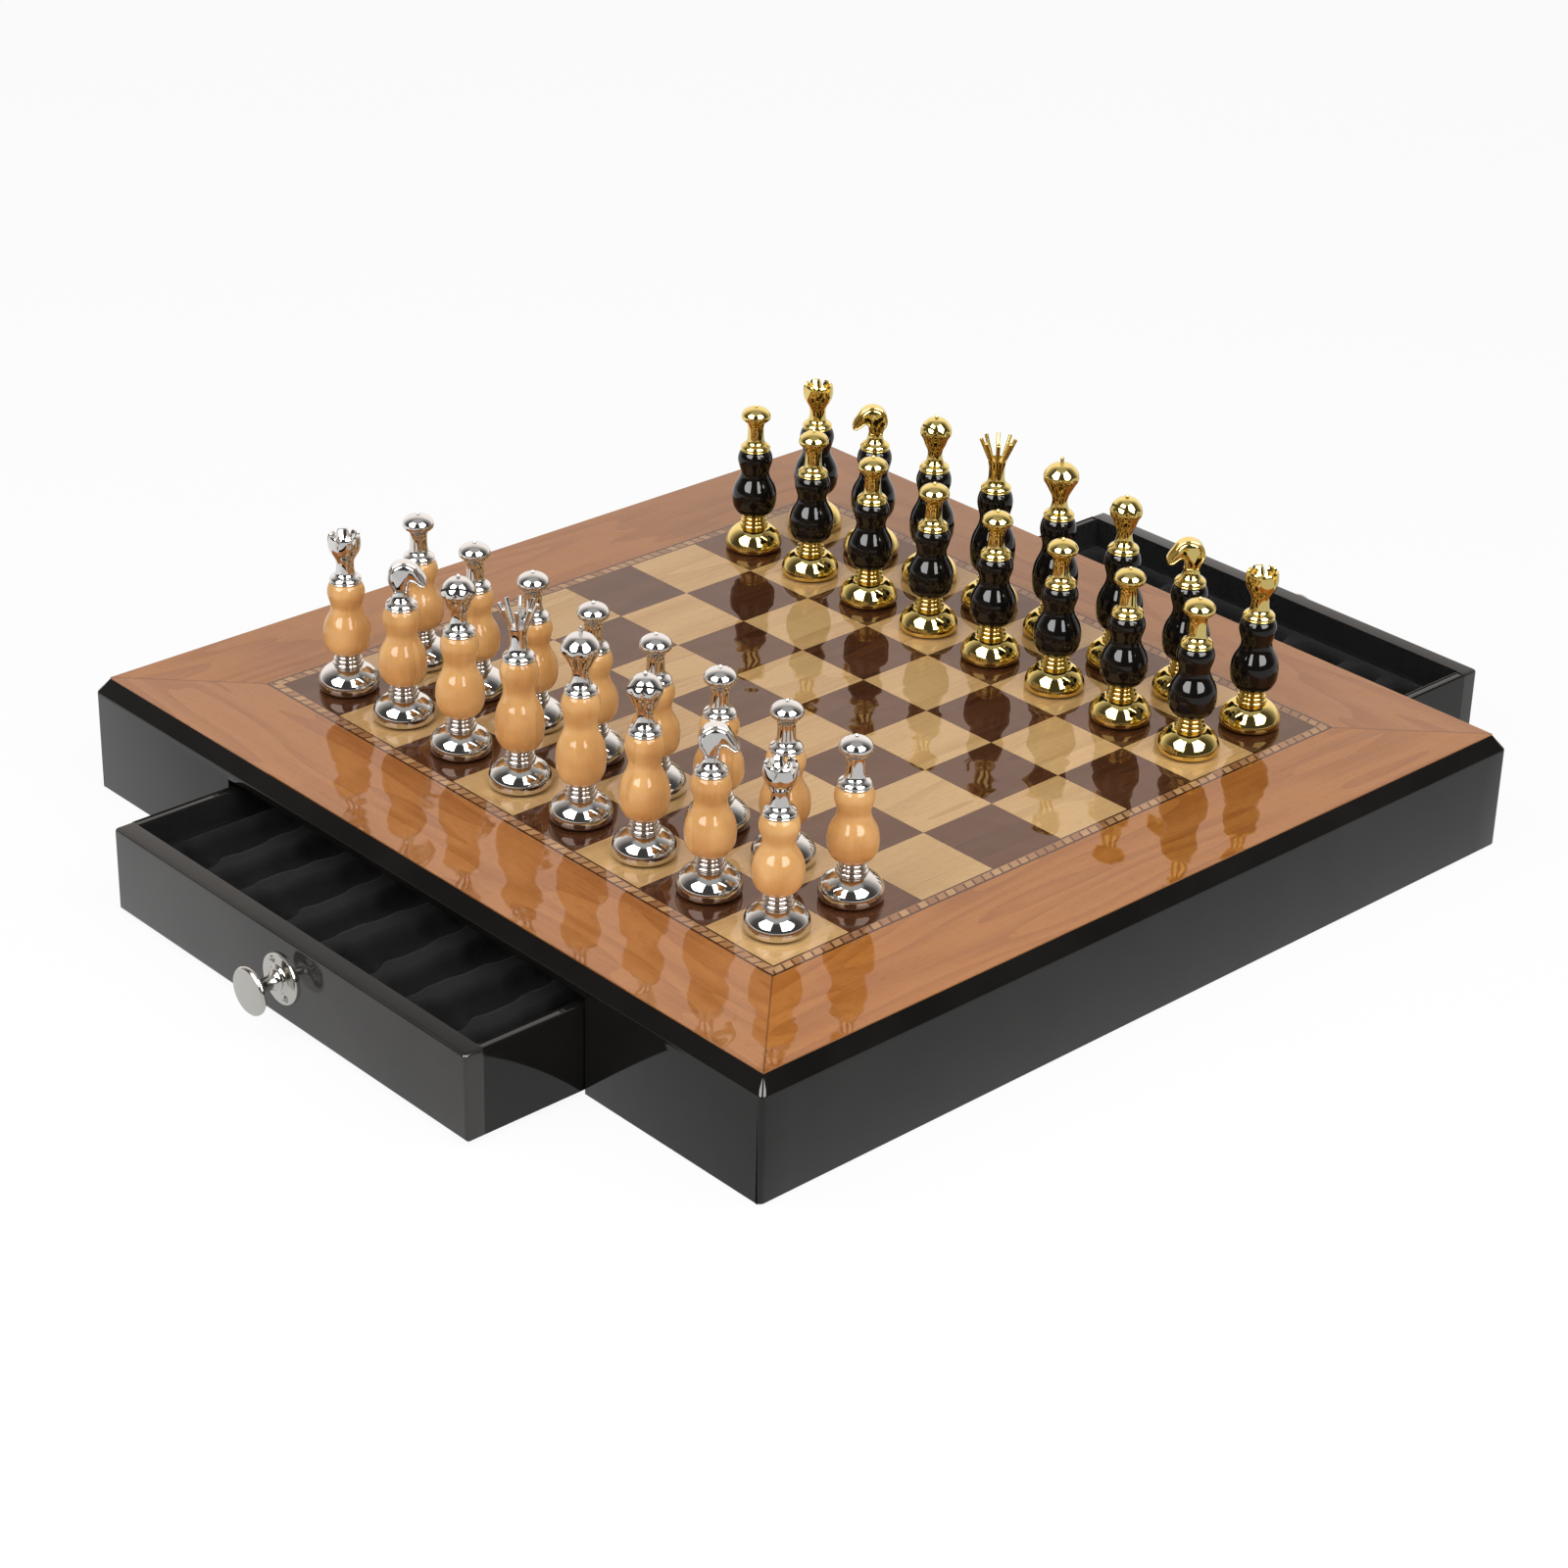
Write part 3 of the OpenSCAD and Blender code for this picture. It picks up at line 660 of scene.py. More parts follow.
def applyModifier(piece, kind, **settings):
    modifier = piece.modifiers.new(kind.lower(), kind)
    for key, value in settings.items():
        setattr(modifier, key, value)
    choose(piece)
    bpy.ops.object.modifier_apply(modifier=modifier.name)


def cut(piece, cutter):
    applyModifier(piece, "BOOLEAN", operation="DIFFERENCE", object=cutter, solver="EXACT")
    bpy.data.objects.remove(cutter)


def soften(piece, width, angle):
    applyModifier(piece, "BEVEL", width=width * mm, segments=3, limit_method="ANGLE",
                  angle_limit=math.radians(angle))


def finishPiece(piece, finish, body, node, angle=35):
    # the finish takes the first material's place
    if piece.data.materials:
        piece.data.materials[0] = finishes[finish]
    else:
        piece.data.materials.append(finishes[finish])
    if angle:
        smoothShade(piece, angle)
    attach(piece, body)
    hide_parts(node)


def drawChain(name, spots):
    # a chain of edges through the spots, all of it selected, left in edit mode
    bpy.ops.mesh.primitive_plane_add(size=mm, location=Vector(spots[0]) * mm)
    piece = newPiece(name)
    edit()
    selectAll("VERT")
    bpy.ops.mesh.merge(type="CENTER")
    for before, after in zip(spots, spots[1:]):
        push(Vector(after) - Vector(before))
    bpy.ops.mesh.select_all(action="SELECT")
    return piece


def lathe(name, line, steps, centre=(0, 0, 0), axis="Z"):
    # the line holds (radius, height) in mm and starts and ends on the axis
    centre = Vector(centre)
    piece = drawChain(name, [centre + (Vector((r, 0, h)) if axis == "Z" else Vector((r, -h, 0)))
                             for r, h in line])
    bpy.ops.mesh.spin(steps=steps, angle=2 * math.pi, use_auto_merge=True,
                      center=centre * mm, axis=(0, 0, 1) if axis == "Z" else (0, 1, 0))
    tidyMesh()
    leaveEdit()
    return piece


def flowing(points, steps):
    # a smooth line through the points
    padded = [points[0], *points, points[-1]]
    line = []
    for a, b, c, d in zip(padded, padded[1:], padded[2:], padded[3:]):
        for i in range(steps):
            t = i / steps
            line.append(tuple(
                0.5 * (2 * q + (r - p) * t + (2 * p - 5 * q + 4 * r - s) * t * t
                       + (3 * q - p - 3 * r + s) * t ** 3)
                for p, q, r, s in zip(a, b, c, d)))
    return line + [points[-1]]


def arc(centre, radius, start, stop, steps):
    angles = (math.radians(start + (stop - start) * i / steps) for i in range(steps + 1))
    return [(centre[0] + radius * math.cos(a), centre[1] + radius * math.sin(a)) for a in angles]


# ---- case

case = {
    "side": 440.0,
    "wall": 15.0,
    "bottom": 1.0,
    "wallTop": 47.0,
    "openingTop": 44.4,
    "openingHalf": 118.5,
    "rearShift": 35.0,
    "shoulder": 1.0,
    "chamferWidth": 5.0,
    "chamferHeight": 6.4,
    "cornerRadius": 2.4,
    "shoulderEdge": 0.6,
    "softEdge": 0.5,
}


def addDrawerWall(name, outer, shift):
    # the left post is drawn out over the opening and down to the right post
    half, bottom, top = case["side"] / 2, case["bottom"], case["wallTop"]
    low, high = shift - case["openingHalf"], shift + case["openingHalf"]
    inner = outer - math.copysign(case["wall"], outer)
    lintel = case["openingTop"]
    wall = addBlock(name, (-half, min(outer, inner), bottom), (low, max(outer, inner), top))
    edit()
    bpy.ops.mesh.select_all(action="SELECT")
    bpy.ops.mesh.bisect(plane_co=(0, 0, lintel * mm), plane_no=(0, 0, 1))
    pick("FACE", lambda f: f.normal.x > 0.9 and middle(f).z > lintel)
    push((high - low, 0, 0))
    push((half - high, 0, 0))
    pick("FACE", lambda f: f.normal.z < -0.9 and middle(f).x > high)
    push((0, 0, bottom - lintel))
    tidyMesh()
    roundEdges(lambda e: all(near(abs(p.x), half) and near(p.y, outer) for p in ends(e)),
               case["cornerRadius"], 4)
    roundEdges(lambda e: lies(e, "z", bottom)
               and (lies(e, "y", outer)
                    or all(abs(p.x) > half - 1.6 and abs(p.y) > half - case["wall"] - 0.1
                           for p in ends(e))
                    and not near(abs(ends(e)[0].x - ends(e)[1].x), case["wall"], 5)),
               case["softEdge"], 2)
    roundEdges(lambda e: lies(e, "y", outer)
               and (lies(e, "x", low) or lies(e, "x", high)
                    or lies(e, "z", lintel) and all(low - 1 < p.x < high + 1 for p in ends(e))),
               case["softEdge"], 2)
    tidyMesh()
    leaveEdit()
    return wall


def addSideWall(name, side):
    half, inner = case["side"] / 2, case["side"] / 2 - case["wall"]
    low, high = sorted((side * half, side * inner))
    wall = addBlock(name, (low, -inner, case["bottom"]), (high, inner, case["wallTop"]))
    edit()
    roundEdges(lambda e: lies(e, "z", case["bottom"]) and lies(e, "x", side * half),
               case["softEdge"], 2)
    leaveEdit()
    return wall


def addTopPanel(name):
    half, low = case["side"] / 2, case["wallTop"]
    inset = half - case["chamferWidth"]
    shoulder = low + case["shoulder"]
    top = shoulder + case["chamferHeight"]
    panel = addBlock(name, (-half, -half, low), (half, half, shoulder))
    edit()
    roundEdges(lambda e: level(e, "x") and level(e, "y"), case["cornerRadius"], 4)
    pick("FACE", lambda f: f.normal.z > 0.9)
    push((0, 0, case["chamferHeight"]))
    shrink = 1 - case["chamferWidth"] / half
    widen(shrink, shrink, center_override=(0, 0, 0))
    # the rounding dies out into sharp corners at the top
    for x, y in ((-1, -1), (1, -1), (1, 1), (-1, 1)):
        pick("VERT", lambda v: near(v.co.z / mm, top) and v.co.x * x > 0 and v.co.y * y > 0)
        bpy.ops.mesh.merge(type="CENTER")
        merged = next(v.co for v in bmesh.from_edit_mesh(panel.data).verts if v.select)
        bpy.ops.transform.translate(value=Vector((x * inset, y * inset, top)) * mm - merged)
    pick("EDGE", lambda e: near(max(p.z for p in ends(e)), top)
         and min(p.z for p in ends(e)) < top - 1
         and any(f.calc_area() > 0.0001 for f in e.link_faces))
    bpy.ops.mesh.mark_sharp()
    roundEdges(lambda e: lies(e, "z", shoulder), case["shoulderEdge"], 3)
    tidyMesh()
    leaveEdit()
    return panel


def addCase():
    half = case["side"] / 2
    pieces = [(addDrawerWall("front_wall_lacquered", -half, 0.0), "front_wall"),
              (addDrawerWall("rear_wall_lacquered", half, case["rearShift"]), "rear_wall"),
              (addSideWall("left_wall_lacquered", -1), "side_walls"),
              (addSideWall("right_wall_lacquered", 1), "side_walls"),
              (addTopPanel("top_panel_lacquered"), "top_panel")]
    for piece, node in pieces:
        finishPiece(piece, "caseLacquer", "case", node)
    applyModifier(pieces[-1][0], "WEIGHTED_NORMAL", keep_sharp=True)


addCase()
print("case is ready")

# ---- drawers, drawn with the face's outer side at y = 0

drawer = {
    "half": 118.0,
    "low": 2.8,
    "rim": 41.4,
    "face": 9.0,
    "side": 5.0,
    "length": 215.8,
    "back": 5.0,
    "backTop": 45.9,
    "edge": 1.6,
    "sideEdge": 1.0,
    "backEdge": 0.8,
    "groove": 0.5,
    "frontPull": 58.0,
    "rearPull": 66.0,
}
tray = {
    "half": 112.6,
    "start": 9.4,
    "length": 201.0,
    "low": 5.8,
    "top": 27.8,
    "columns": 8,
    "pocketLength": 88.8,
    "gridStep": 1.4,
    "rimDrop": 0.6,
    "hollowWidth": 0.88,
    # radius of the hollow along a lying man, from its base to its head
    "hollow": [(0, 13.6), (9, 14.1), (17, 9.2), (25, 11.0), (35, 10.6), (45, 8.0), (53, 9.2),
               (60, 7.6), (70, 7.6), (80, 8.8), (86, 7.6), (88.8, 6.2)],
}
knob = {
    "centre": 22.1,
    "plate": [(0, 0), (11.3, 0), (11.3, 0.9), (11.05, 1.35), (10.5, 1.6), (6.9, 1.6),
              (6.4, 1.75), (6.0, 2.2), (5.6, 3.0), (0, 3.0)],
    "neckFrom": 3.02,
    "handle": [(0, 0), (4.6, 0)]
              + flowing([(4.6, 0.25), (3.9, 1.0), (3.15, 2.6), (2.9, 5.2), (3.0, 7.6),
                         (3.6, 9.6), (5.0, 10.7), (7.4, 11.15), (9.6, 11.4)], 3)
              + flowing([(9.9, 11.5), (10.4, 11.9), (10.5, 12.5), (10.4, 13.0)], 3)
              + flowing([(9.7, 13.7), (8.9, 13.95), (6.0, 14.3), (3.0, 14.45), (0, 14.5)], 3),
    "screwRing": 8.64,
    "screwAngle": 118.0,
    "screwHead": [(0, 1.62), (1.6, 1.62), (1.55, 1.95), (1.2, 2.2), (0, 2.3)],
    "screwSlot": (0.5, 1.95),  # its width, and where its floor is
}


def finishSides(piece, finish, **sides):
    # in edit mode: faces that pass a finish's test get it instead of the piece's own
    piece.data.materials.append(finishes[finish])
    for number, (other, test) in enumerate(sides.items(), start=1):
        piece.data.materials.append(finishes[other])
        pick("FACE", test)
        piece.active_material_index = number
        bpy.ops.object.material_slot_assign()
    leaveEdit()


def addFace(name):
    piece = addBlock(name, (-drawer["half"], 0, drawer["low"]),
                     (drawer["half"], drawer["face"], drawer["rim"]))
    edit()
    roundEdges(lambda e: lies(e, "y", 0) or level(e, "x") and lies(e, "z", drawer["rim"]),
               drawer["edge"], 4)
    tidyMesh()
    finishSides(piece, "faceLacquerPaintedLight", velvet=lambda f: f.normal.y > 0.95,
                rimLacquer=lambda f: f.normal.z > 0.95)
    return piece


def addDrawerSide(name, side):
    outer, inner = side * drawer["half"], side * (drawer["half"] - drawer["side"])
    piece = addBlock(name, (min(outer, inner), drawer["face"], drawer["low"]),
                     (max(outer, inner), drawer["length"] - drawer["back"], drawer["rim"]))
    edit()
    roundEdges(lambda e: lies(e, "z", drawer["rim"]) and level(e, "x"), drawer["sideEdge"], 4)
    tidyMesh()
    pick("FACE", lambda f: f.normal.z > 0.98)
    bpy.ops.mesh.inset(thickness=0.3 * mm)
    bpy.ops.mesh.inset(thickness=0.35 * mm, depth=-drawer["groove"] * mm)
    tidyMesh()
    finishSides(piece, "caseLacquer", velvet=lambda f: f.normal.x * side < -0.95)
    return piece


def addDrawerBack(name):
    piece = addBlock(name, (-drawer["half"], drawer["length"] - drawer["back"], drawer["low"]),
                     (drawer["half"], drawer["length"], drawer["backTop"]))
    edit()
    roundEdges(lambda e: lies(e, "z", drawer["backTop"]) or lies(e, "y", drawer["length"])
               and all(near(abs(p.x), drawer["half"]) for p in ends(e)), drawer["backEdge"], 3)
    tidyMesh()
    finishSides(piece, "caseLacquer", velvet=lambda f: f.normal.y < -0.95)
    return piece


def hollowRadius(along):
    for (a, p), (b, q) in zip(tray["hollow"], tray["hollow"][1:]):
        if a <= along <= b:
            ease = (1 - math.cos(math.pi * (along - a) / (b - a))) / 2
            return p + (q - p) * ease
    return 0.0


def trayDepth(x, y):
    # depth of the nearest man's hollow under the tray's top
    pitch = 2 * tray["half"] / tray["columns"]
    land = (tray["length"] - 2 * tray["pocketLength"]) / 3
    column = int((x + tray["half"]) // pitch)
    deepest = 0.0
    for i in range(max(0, column - 1), min(tray["columns"], column + 2)):
        aside = x - ((i + 0.5) * pitch - tray["half"])
        for row in (0, 1):
            along = y - tray["start"] - land - row * (tray["pocketLength"] + land)
            if i % 2:
                along = tray["pocketLength"] - along
            radius = hollowRadius(along) * tray["hollowWidth"]
            if abs(aside) < radius:
                deepest = max(deepest, math.sqrt(radius ** 2 - aside ** 2))
    return deepest


def addTray(name):
    middleY = tray["start"] + tray["length"] / 2
    bpy.ops.mesh.primitive_grid_add(
        x_subdivisions=int(2 * tray["half"] / tray["gridStep"]),
        y_subdivisions=int(tray["length"] / tray["gridStep"]), size=2 * mm,
        location=(0, middleY * mm, tray["top"] * mm))
    widen(tray["half"], tray["length"] / 2)
    piece = newPiece(name)
    edit()
    form = bmesh.from_edit_mesh(piece.data)
    for vertex in form.verts:
        if not vertex.is_boundary:
            vertex.co.z -= trayDepth(vertex.co.x / mm, vertex.co.y / mm) * mm
    bmesh.update_edit_mesh(piece.data)
    leaveEdit()
    applyModifier(piece, "SMOOTH", factor=0.5, iterations=4)
    edit()
    pick("VERT", lambda v: v.is_boundary)
    bpy.ops.transform.translate(value=(0, 0, -tray["rimDrop"] * mm))
    pick("EDGE", lambda e: e.is_boundary)
    push((0, 0, tray["low"] - tray["top"] + tray["rimDrop"]))
    bpy.ops.mesh.edge_face_add()
    tidyMesh()
    leaveEdit()
    return piece


def addScrews(name):
    width, floor = knob["screwSlot"]
    screws = []
    for turn in (knob["screwAngle"], knob["screwAngle"] + 180):
        angle = math.radians(turn)
        x = knob["screwRing"] * math.cos(angle)
        z = knob["centre"] + knob["screwRing"] * math.sin(angle)
        screw = lathe(name, knob["screwHead"], 24, (x, 0, z), "Y")
        cut(screw, addBlock("slotCutter", (x - 2, -2.6, z - width / 2),
                            (x + 2, -floor, z + width / 2)))
        screws.append(screw)
    return joinAll(screws, name)


def addDrawer(word, x, y, turn):
    body = word + "_drawer"
    centre = (0, 0, knob["centre"])
    handle = [(r, h + knob["neckFrom"]) for r, h in knob["handle"]]
    pieces = [
        (addFace(body + "_face_lacquered"), "faceLacquerPaintedLight", "face", "lacquer"),
        (addDrawerSide(body + "_left_side", -1), "caseLacquer", "sides", "lacquer"),
        (addDrawerSide(body + "_right_side", 1), "caseLacquer", "sides", "lacquer"),
        (addDrawerBack(body + "_raised_back"), "caseLacquer", "back", "lacquer"),
        (addTray(body + "_velvet_tray"), "velvet", "tray", "velvet"),
        (lathe(body + "_knob_rosette", knob["plate"], 64, centre, "Y"), "nickel", "knob_plate",
         "chrome"),
        (lathe(body + "_knob_turned", handle, 64, centre, "Y"), "nickel", "knob", "chrome"),
        (addScrews(body + "_screw_heads"), "nickel", "knob_screws", "chrome"),
    ]
    for piece, finish, node, slot in pieces:
        piece.rotation_euler = (0, 0, math.radians(turn))
        piece.location = Vector((x, y, 0)) * mm
        choose(piece)
        settle()
        finishPiece(piece, finish, body, body + "_" + node, 60 if node == "tray" else 35)


addDrawer("front", 0, -case["side"] / 2 - drawer["frontPull"], 0)
addDrawer("rear", case["rearShift"], case["side"] / 2 + drawer["rearPull"], 180)
print("drawers are ready")

# ---- men

man = {
    "board": 55.05,
    "square": 40.0,
    "baseHeight": 18.0,
    "steps": 56,
    "bodyHeight": {"pawn": 32.0, "rook": 33.0, "knight": 35.0, "bishop": 37.0,
                   "queen": 40.0, "king": 40.0},
    "knightTurn": 40.0,
    "slitTurn": {"silver": 133.0, "gold": 90.0},
    "joint": 0.02,
}


def ring(radius, height, thickness):
    # the outer side of a round moulding
    return arc((radius, height), thickness, -72, 72, 8)


def footLine(bowl, rings):
    return ([(0, 0.8), (11.4, 0.8)]
            + flowing([(11.9, 0.82), (12.8, 1.0), (13.35, 1.6), (13.5, 2.6)], 2)
            + flowing(bowl, 2) + [point for sizes in rings for point in ring(*sizes)]
            + [(4.9, 16.9), (5.4, 17.15), (6.1, 17.4), (6.35, 17.65), (6.35, 18.0), (0, 18.0)])


footLines = {
    # a full bowl under the silver men, a bell under the gold ones
    "silver": footLine([(13.45, 3.9), (13.2, 5.3), (12.6, 6.8), (11.6, 8.2), (10.3, 9.4),
                        (8.9, 10.3), (7.8, 10.9), (6.8, 11.3)],
                       [(5.9, 12.4, 0.95), (5.35, 14.3, 0.9), (4.85, 16.0, 0.85)]),
    "gold": footLine([(13.35, 4.0), (12.8, 5.6), (12.0, 7.2), (10.9, 8.7), (9.6, 9.9),
                      (8.2, 10.8), (6.9, 11.2)],
                     [(5.85, 12.15, 0.95), (5.3, 14.1, 0.9), (4.85, 15.95, 0.85)]),
}
feltLine = [(0, 0), (11.2, 0), (11.4, 0.2), (11.4, 0.79), (0, 0.79)]
collarLine = (
    [(0, 0), (6.5, 0)]
    + flowing([(6.7, 0.1), (6.95, 0.45), (6.85, 0.8), (6.55, 0.95)], 2)
    + flowing([(6.65, 1.05), (6.95, 1.45), (6.8, 2.0), (6.2, 2.75), (5.3, 3.35), (4.6, 3.9),
               (4.25, 4.6)], 2))


def bodyLine(height):
    shape = [(6.2, 0.0), (7.6, 0.014), (9.0, 0.06), (10.2, 0.14), (10.6, 0.245), (10.5, 0.32),
             (10.0, 0.4), (9.1, 0.47), (8.0, 0.53), (7.2, 0.585), (6.8, 0.64), (6.9, 0.69),
             (7.45, 0.75), (8.0, 0.81), (8.25, 0.86), (8.05, 0.915), (7.5, 0.965), (6.9, 0.992),
             (6.6, 1.0)]
    return ([(0, 0)] + flowing([(r, share * height) for r, share in shape], 3) + [(0, height)])


def onionLine(neck, widest, height, top, spike):
    # bulb on a slender neck, ending in a small spike
    roof = top - spike
    return (flowing([(4.25, 4.6), (neck + 0.25, 6.2), (neck, 8.4), (neck + 0.35, 10.6),
                     (neck + 1.6, 13.2), (widest - 1.5, height - 3.4),
                     (widest - 0.3, height - 1.4), (widest, height), (widest - 0.35, height + 1.7),
                     (widest * 0.8, height + 3.7), (widest * 0.53, roof - 0.75), (1.5, roof)], 3)
            + flowing([(0.95, roof + 0.1), (0.8, roof + spike * 0.4), (0.9, roof + spike * 0.65),
                       (0.5, top - 0.1)], 2) + [(0, top)])


headLines = {
    "pawn": flowing([(4.25, 4.6), (3.95, 6.0), (3.8, 8.4), (3.75, 11.0), (4.0, 13.0),
                     (4.8, 14.4), (6.0, 15.3), (6.8, 16.2), (7.0, 17.2)], 3)
            + flowing([(6.85, 18.1), (6.2, 19.3), (5.0, 20.4), (3.4, 21.2), (1.8, 21.65),
                       (1.0, 21.8)], 2)
            + [(0.75, 21.95), (0.8, 22.4), (0.5, 22.8), (0, 22.9)],
    "rook": flowing([(4.25, 4.6), (3.95, 6.4), (3.85, 8.4), (4.1, 10.6), (5.1, 12.6),
                     (6.3, 14.6), (7.0, 16.8), (7.15, 19.0), (7.0, 21.2), (6.7, 22.2)], 3)
            + flowing([(6.3, 22.6), (5.6, 22.4), (4.9, 21.2), (4.3, 19.6), (3.2, 18.2),
                       (1.6, 17.5), (0, 17.3)], 2),
    "knight": [(3.9, 5.2), (3.5, 6.6), (3.4, 8.2), (0, 8.2)],
    "bishop": onionLine(3.4, 7.5, 19.4, 27.6, 1.7),
    "queen": flowing([(4.25, 4.6), (3.85, 6.0), (3.7, 8.0), (3.7, 11.4), (4.0, 13.2),
                      (4.3, 14.6), (4.3, 15.6)], 3) + [(3.6, 15.8), (2.2, 15.2), (0, 14.9)],
    "king": onionLine(3.5, 8.3, 19.8, 29.6, 3.4),
}

# sizes of the cuts and the fine parts of the heads: mm above the collar, angles in degrees
tulip = {"turns": (0, 60, 120), "reach": 14.0, "halfGap": 0.3, "low": 17.9, "mouth": 18.7,
         "rise": 4.4, "flare": 5.0, "soft": 0.4}
flutes = {"columns": 7, "low": (11.0, 13.0), "high": (21.4, 20.2),
          "valley": (0.955, 0.945), "flank": (0.98, 0.97)}
slit = {"reach": 9.0, "start": 0.5, "halfWidth": 0.5, "lean": 38.0, "x": -1.5, "height": 19.8}
horse = {
    "outline": [(3.2, 7.4), (3.45, 9.2), (4.2, 10.8)] + arc((-1.6, 14.6), 7.1, -22, 138, 14)
               + [(-8.6, 16.6), (-10.1, 14.5)] + arc((-9.4, 11.7), 1.75, 155, 320, 6)
               + [(-6.9, 11.4), (-5.6, 12.5), (-4.4, 12.9), (-3.6, 12.0), (-3.3, 9.6),
                  (-3.2, 7.4)],
    "half": 2.7,
    "border": [(0.75, 0.35), (0.28, -0.7), (0.28, 0.75), (0.55, 0.3)],  # widths and heights
    "soft": 0.5,
}
rays = {"count": 8, "radius": 0.62, "length": 11.7, "head": 1.45, "foot": 1.25, "lean": 23.0,
        "ring": 3.3, "height": 14.5}


def cutTulip(head, low):
    # three wedges cross on the axis and leave six petals
    gap, reach = tulip["halfGap"], tulip["reach"]
    for turn in tulip["turns"]:
        wedge = addBlock("wedge", (-gap, -reach, low + tulip["low"]),
                         (gap, reach, low + tulip["mouth"]))
        edit()
        pick("FACE", lambda f: f.normal.z > 0.9)
        push((0, 0, tulip["rise"]))
        widen(tulip["flare"], 1, center_override=(0, 0, 0))
        leaveEdit()
        wedge.rotation_euler = (0, 0, math.radians(turn))
        cut(head, wedge)
    soften(head, tulip["soft"], 50)


def pressFlutes(head, low):
    # eight shallow hollows, one to seven columns of the mesh, run down the bulb's lower half
    columns = flutes["columns"]
    choose(head)
    edit()
    for bottom, top, valley, flank in zip(flutes["low"], flutes["high"], flutes["valley"],
                                          flutes["flank"]):
        for places, size in (((0,), valley), ((1, columns - 1), flank)):
            pick("VERT", lambda v: low + bottom < v.co.z / mm < low + top
                 and round(math.atan2(v.co.y, v.co.x) / math.tau * man["steps"]) % columns
                 in places)
            widen(size, size, center_override=(0, 0, 0))
    leaveEdit()


def cutSlit(head, low):
    # a slanting cut in the bulb, open towards -X
    reach, width = slit["reach"], slit["halfWidth"]
    cutter = addBlock("slitCutter", (-reach, -reach, -width), (-slit["start"], reach, width))
    cutter.rotation_euler = (0, math.radians(slit["lean"]), 0)
    cutter.location = Vector((slit["x"], 0, low + slit["height"])) * mm
    cut(head, cutter)


def addHorse(low):
    # the silhouette is drawn as a closed chain looking along -X, then given its thickness
    piece = drawChain("horse", [(x, -horse["half"], z + low) for x, z in horse["outline"]])
    bpy.ops.mesh.edge_face_add()
    selectAll("FACE")
    push((0, 2 * horse["half"], 0))
    tidyMesh()
    for side in (-1, 1):
        pick("FACE", lambda f: f.normal.y * side > 0.9 and len(f.verts) > 8)
        for width, height in horse["border"]:
            bpy.ops.mesh.inset(thickness=width * mm, depth=height * mm)
    tidyMesh()
    leaveEdit()
    soften(piece, horse["soft"], 40)
    return piece


def addRays(low):
    # one slender flat-ended ray, copied round the cup
    bpy.ops.mesh.primitive_cylinder_add(vertices=14, radius=rays["radius"] * mm,
                                        depth=rays["length"] * mm,
                                        location=(0, 0, rays["length"] / 2 * mm))
    first = newPiece("ray")
    edit()
    pick("FACE", lambda f: f.normal.z > 0.9)
    widen(rays["head"], rays["head"])
    bpy.ops.mesh.inset(thickness=0.12 * mm, depth=0.1 * mm)
    pick("FACE", lambda f: f.normal.z < -0.9)
    widen(rays["foot"], rays["foot"])
    leaveEdit()
    pieces = [first] + [copyOf(first) for _ in range(rays["count"] - 1)]
    for i, ray in enumerate(pieces):
        turn = math.radians(360 / rays["count"] * i)
        ray.rotation_euler = (0, math.radians(rays["lean"]), turn)
        ray.location = Vector((rays["ring"] * math.cos(turn), rays["ring"] * math.sin(turn),
                               low + rays["height"])) * mm
    return pieces


def addManModels(kind, foot):
    # one metal piece, foot and head, and one turned body; heights start at the felt
    height = man["bodyHeight"][kind]
    bodyLow = man["baseHeight"] + man["joint"]
    headLow = bodyLow + height + man["joint"]
    body = lathe(kind + "Body", [(r, h + bodyLow) for r, h in bodyLine(height)], man["steps"])
    head = lathe(kind + "Head", [(r, h + headLow) for r, h in collarLine + headLines[kind]],
                 man["steps"])
    extra = []
    if kind in ("king", "bishop"):
        pressFlutes(head, headLow)
    if kind == "rook":
        cutTulip(head, headLow)
    if kind == "bishop":
        cutSlit(head, headLow)
    if kind == "knight":
        extra = [addHorse(headLow)]
    if kind == "queen":
        extra = addRays(headLow)
    for part in (head, *extra):
        part.data.materials.append(finishes["silver"])
    metal = joinAll([copyOf(foot), head, *extra], kind + "Metal")
    smoothShade(body, 40)
    smoothShade(metal, 32)
    return metal, body


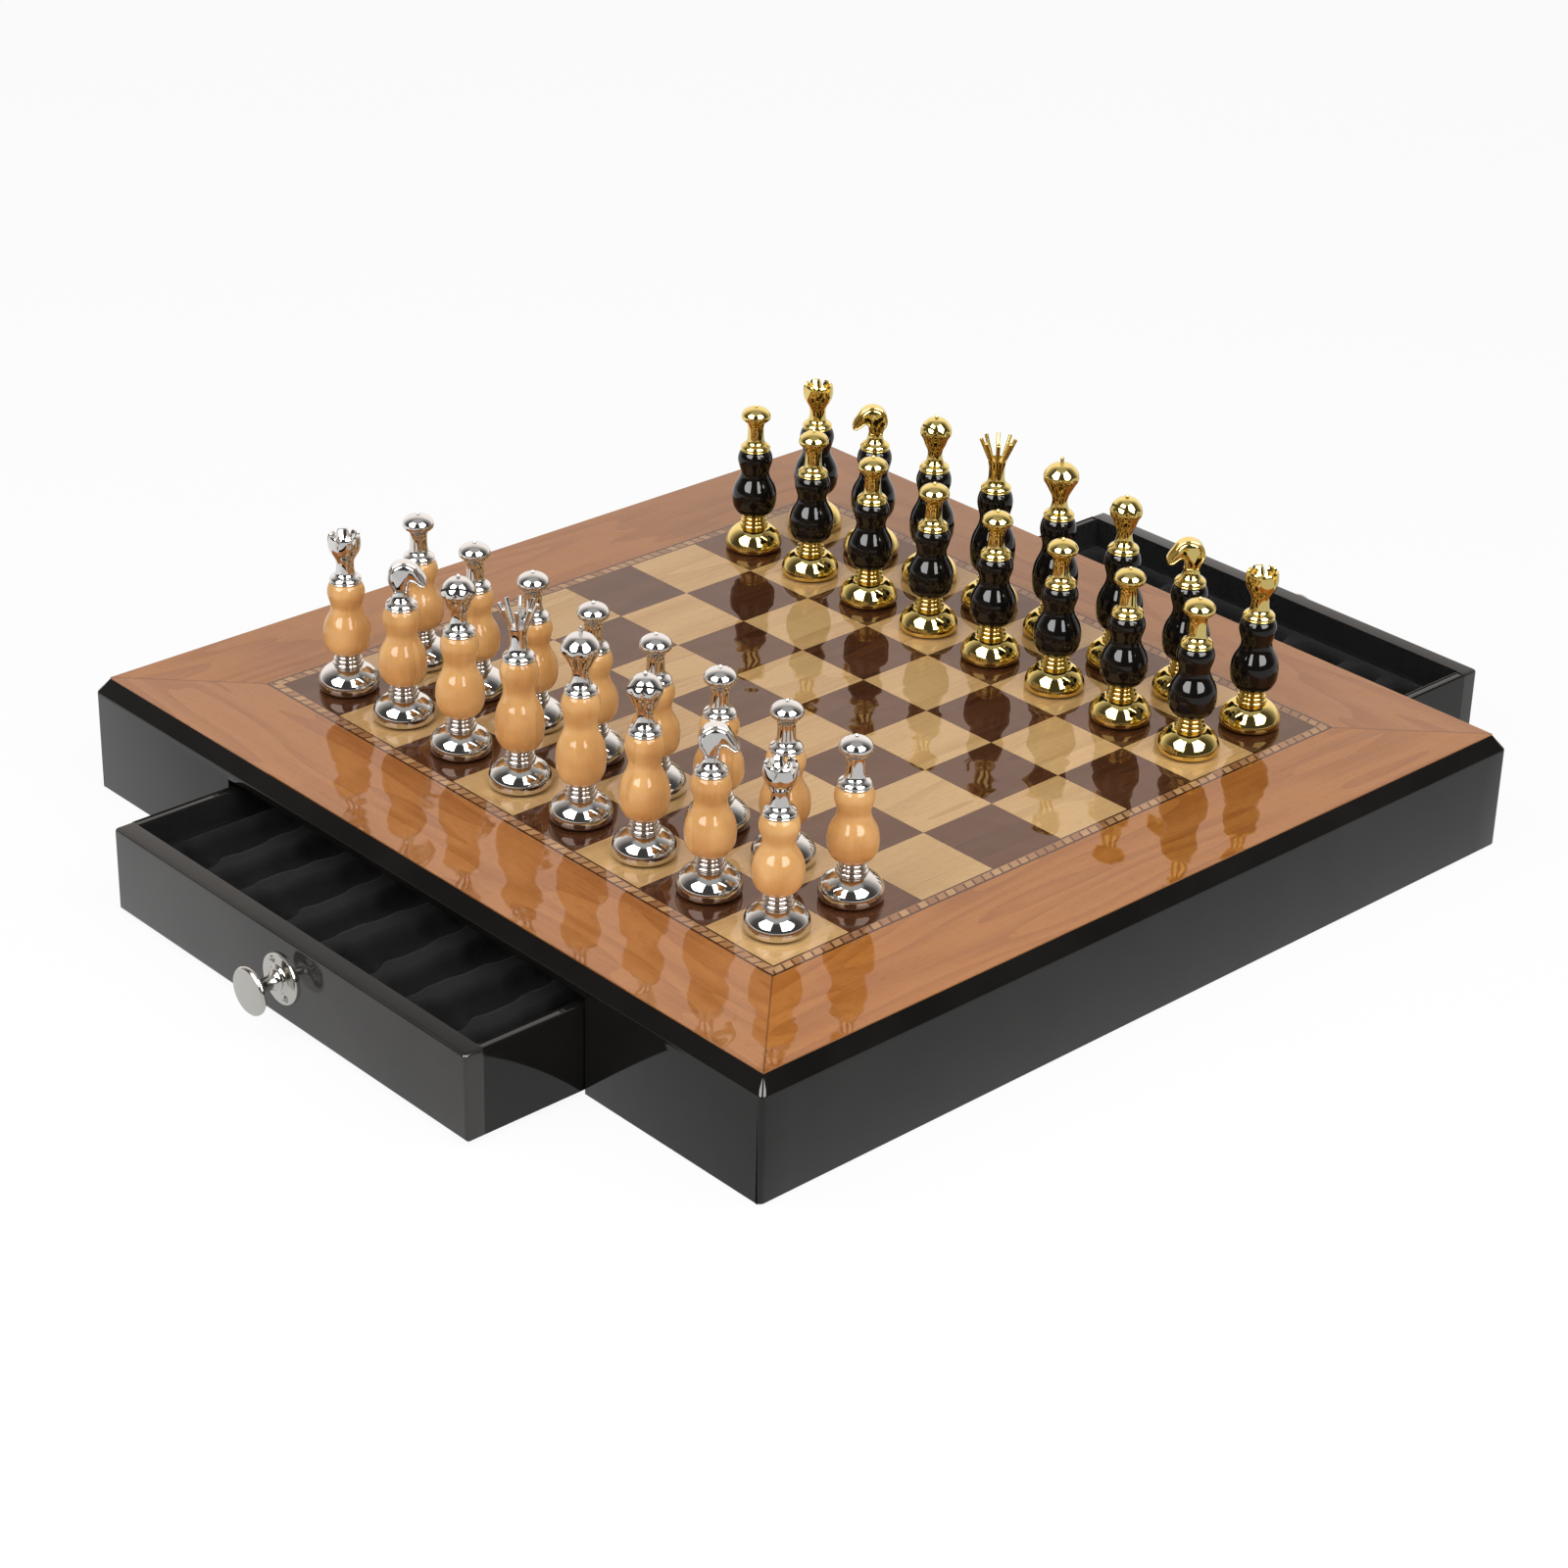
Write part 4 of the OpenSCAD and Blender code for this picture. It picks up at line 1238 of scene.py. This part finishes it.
def addFoot(side):
    # the metal foot with the felt disc let into its underside
    foot = lathe("foot", footLines[side], man["steps"])
    felt = lathe("feltDisc", feltLine, 40)
    foot.data.materials.append(finishes["silver"])
    foot.data.materials.append(finishes["felt"])
    felt.data.materials.append(finishes["felt"])
    return joinAll([foot, felt], "foot")


def addMan(node, models, spot, turn, looks):
    for model, (part, finish, slot) in zip(models, looks):
        piece = copyOf(model)
        piece.name = piece.data.name = node + part
        piece.location = Vector(spot) * mm
        piece.rotation_euler = (0, 0, math.radians(turn))
        settle()
        finishPiece(piece, finish, node, node, angle=None)


def addMen():
    models = {}
    for side in footLines:
        foot = addFoot(side)
        for kind in man["bodyHeight"]:
            models[side, kind] = addManModels(kind, foot)
        bpy.data.objects.remove(foot)
    backRow = ["rook", "knight", "bishop", "queen", "king", "bishop", "knight", "rook"]
    for side, backRank, pawnRank, facing, looks in (
            ("silver", 0, 1, -90, (("_metal", "silver", "chrome"), ("_wood", "tan", "tan_wood"))),
            ("gold", 7, 6, 90,
             (("_metal", "gold", "gold_plate"), ("_wood", "black", "black_wood")))):
        for file, letter in enumerate("abcdefgh"):
            for rank, kind in ((backRank, backRow[file]), (pawnRank, "pawn")):
                name = kind if kind in ("king", "queen") else kind + "_" + letter
                turn = {"knight": facing - man["knightTurn"],
                        "bishop": man["slitTurn"][side]}.get(kind, facing)
                spot = ((file - 3.5) * man["square"], (rank - 3.5) * man["square"], man["board"])
                addMan(side + "_" + name, models[side, kind], spot, turn, looks)
    for pair in models.values():
        for model in pair:
            bpy.data.objects.remove(model)


addMen()
print("men are ready")

# ---- the CAD pieces that stay get their finishes

kept = {
    "base_panel": "caseLacquer", "feet": "felt", "center_divider": "rawWood",
    "drawer_guides": "rawWood", "border_veneer": "border", "inlay_band": "inlay",
    "light_squares": "light", "dark_squares": "dark",
    "front_drawer_bottom": "caseLacquer", "rear_drawer_bottom": "caseLacquer",
}
for name, finish in kept.items():
    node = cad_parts[name]
    node.data.materials.clear()
    node.data.materials.append(finishes[finish])
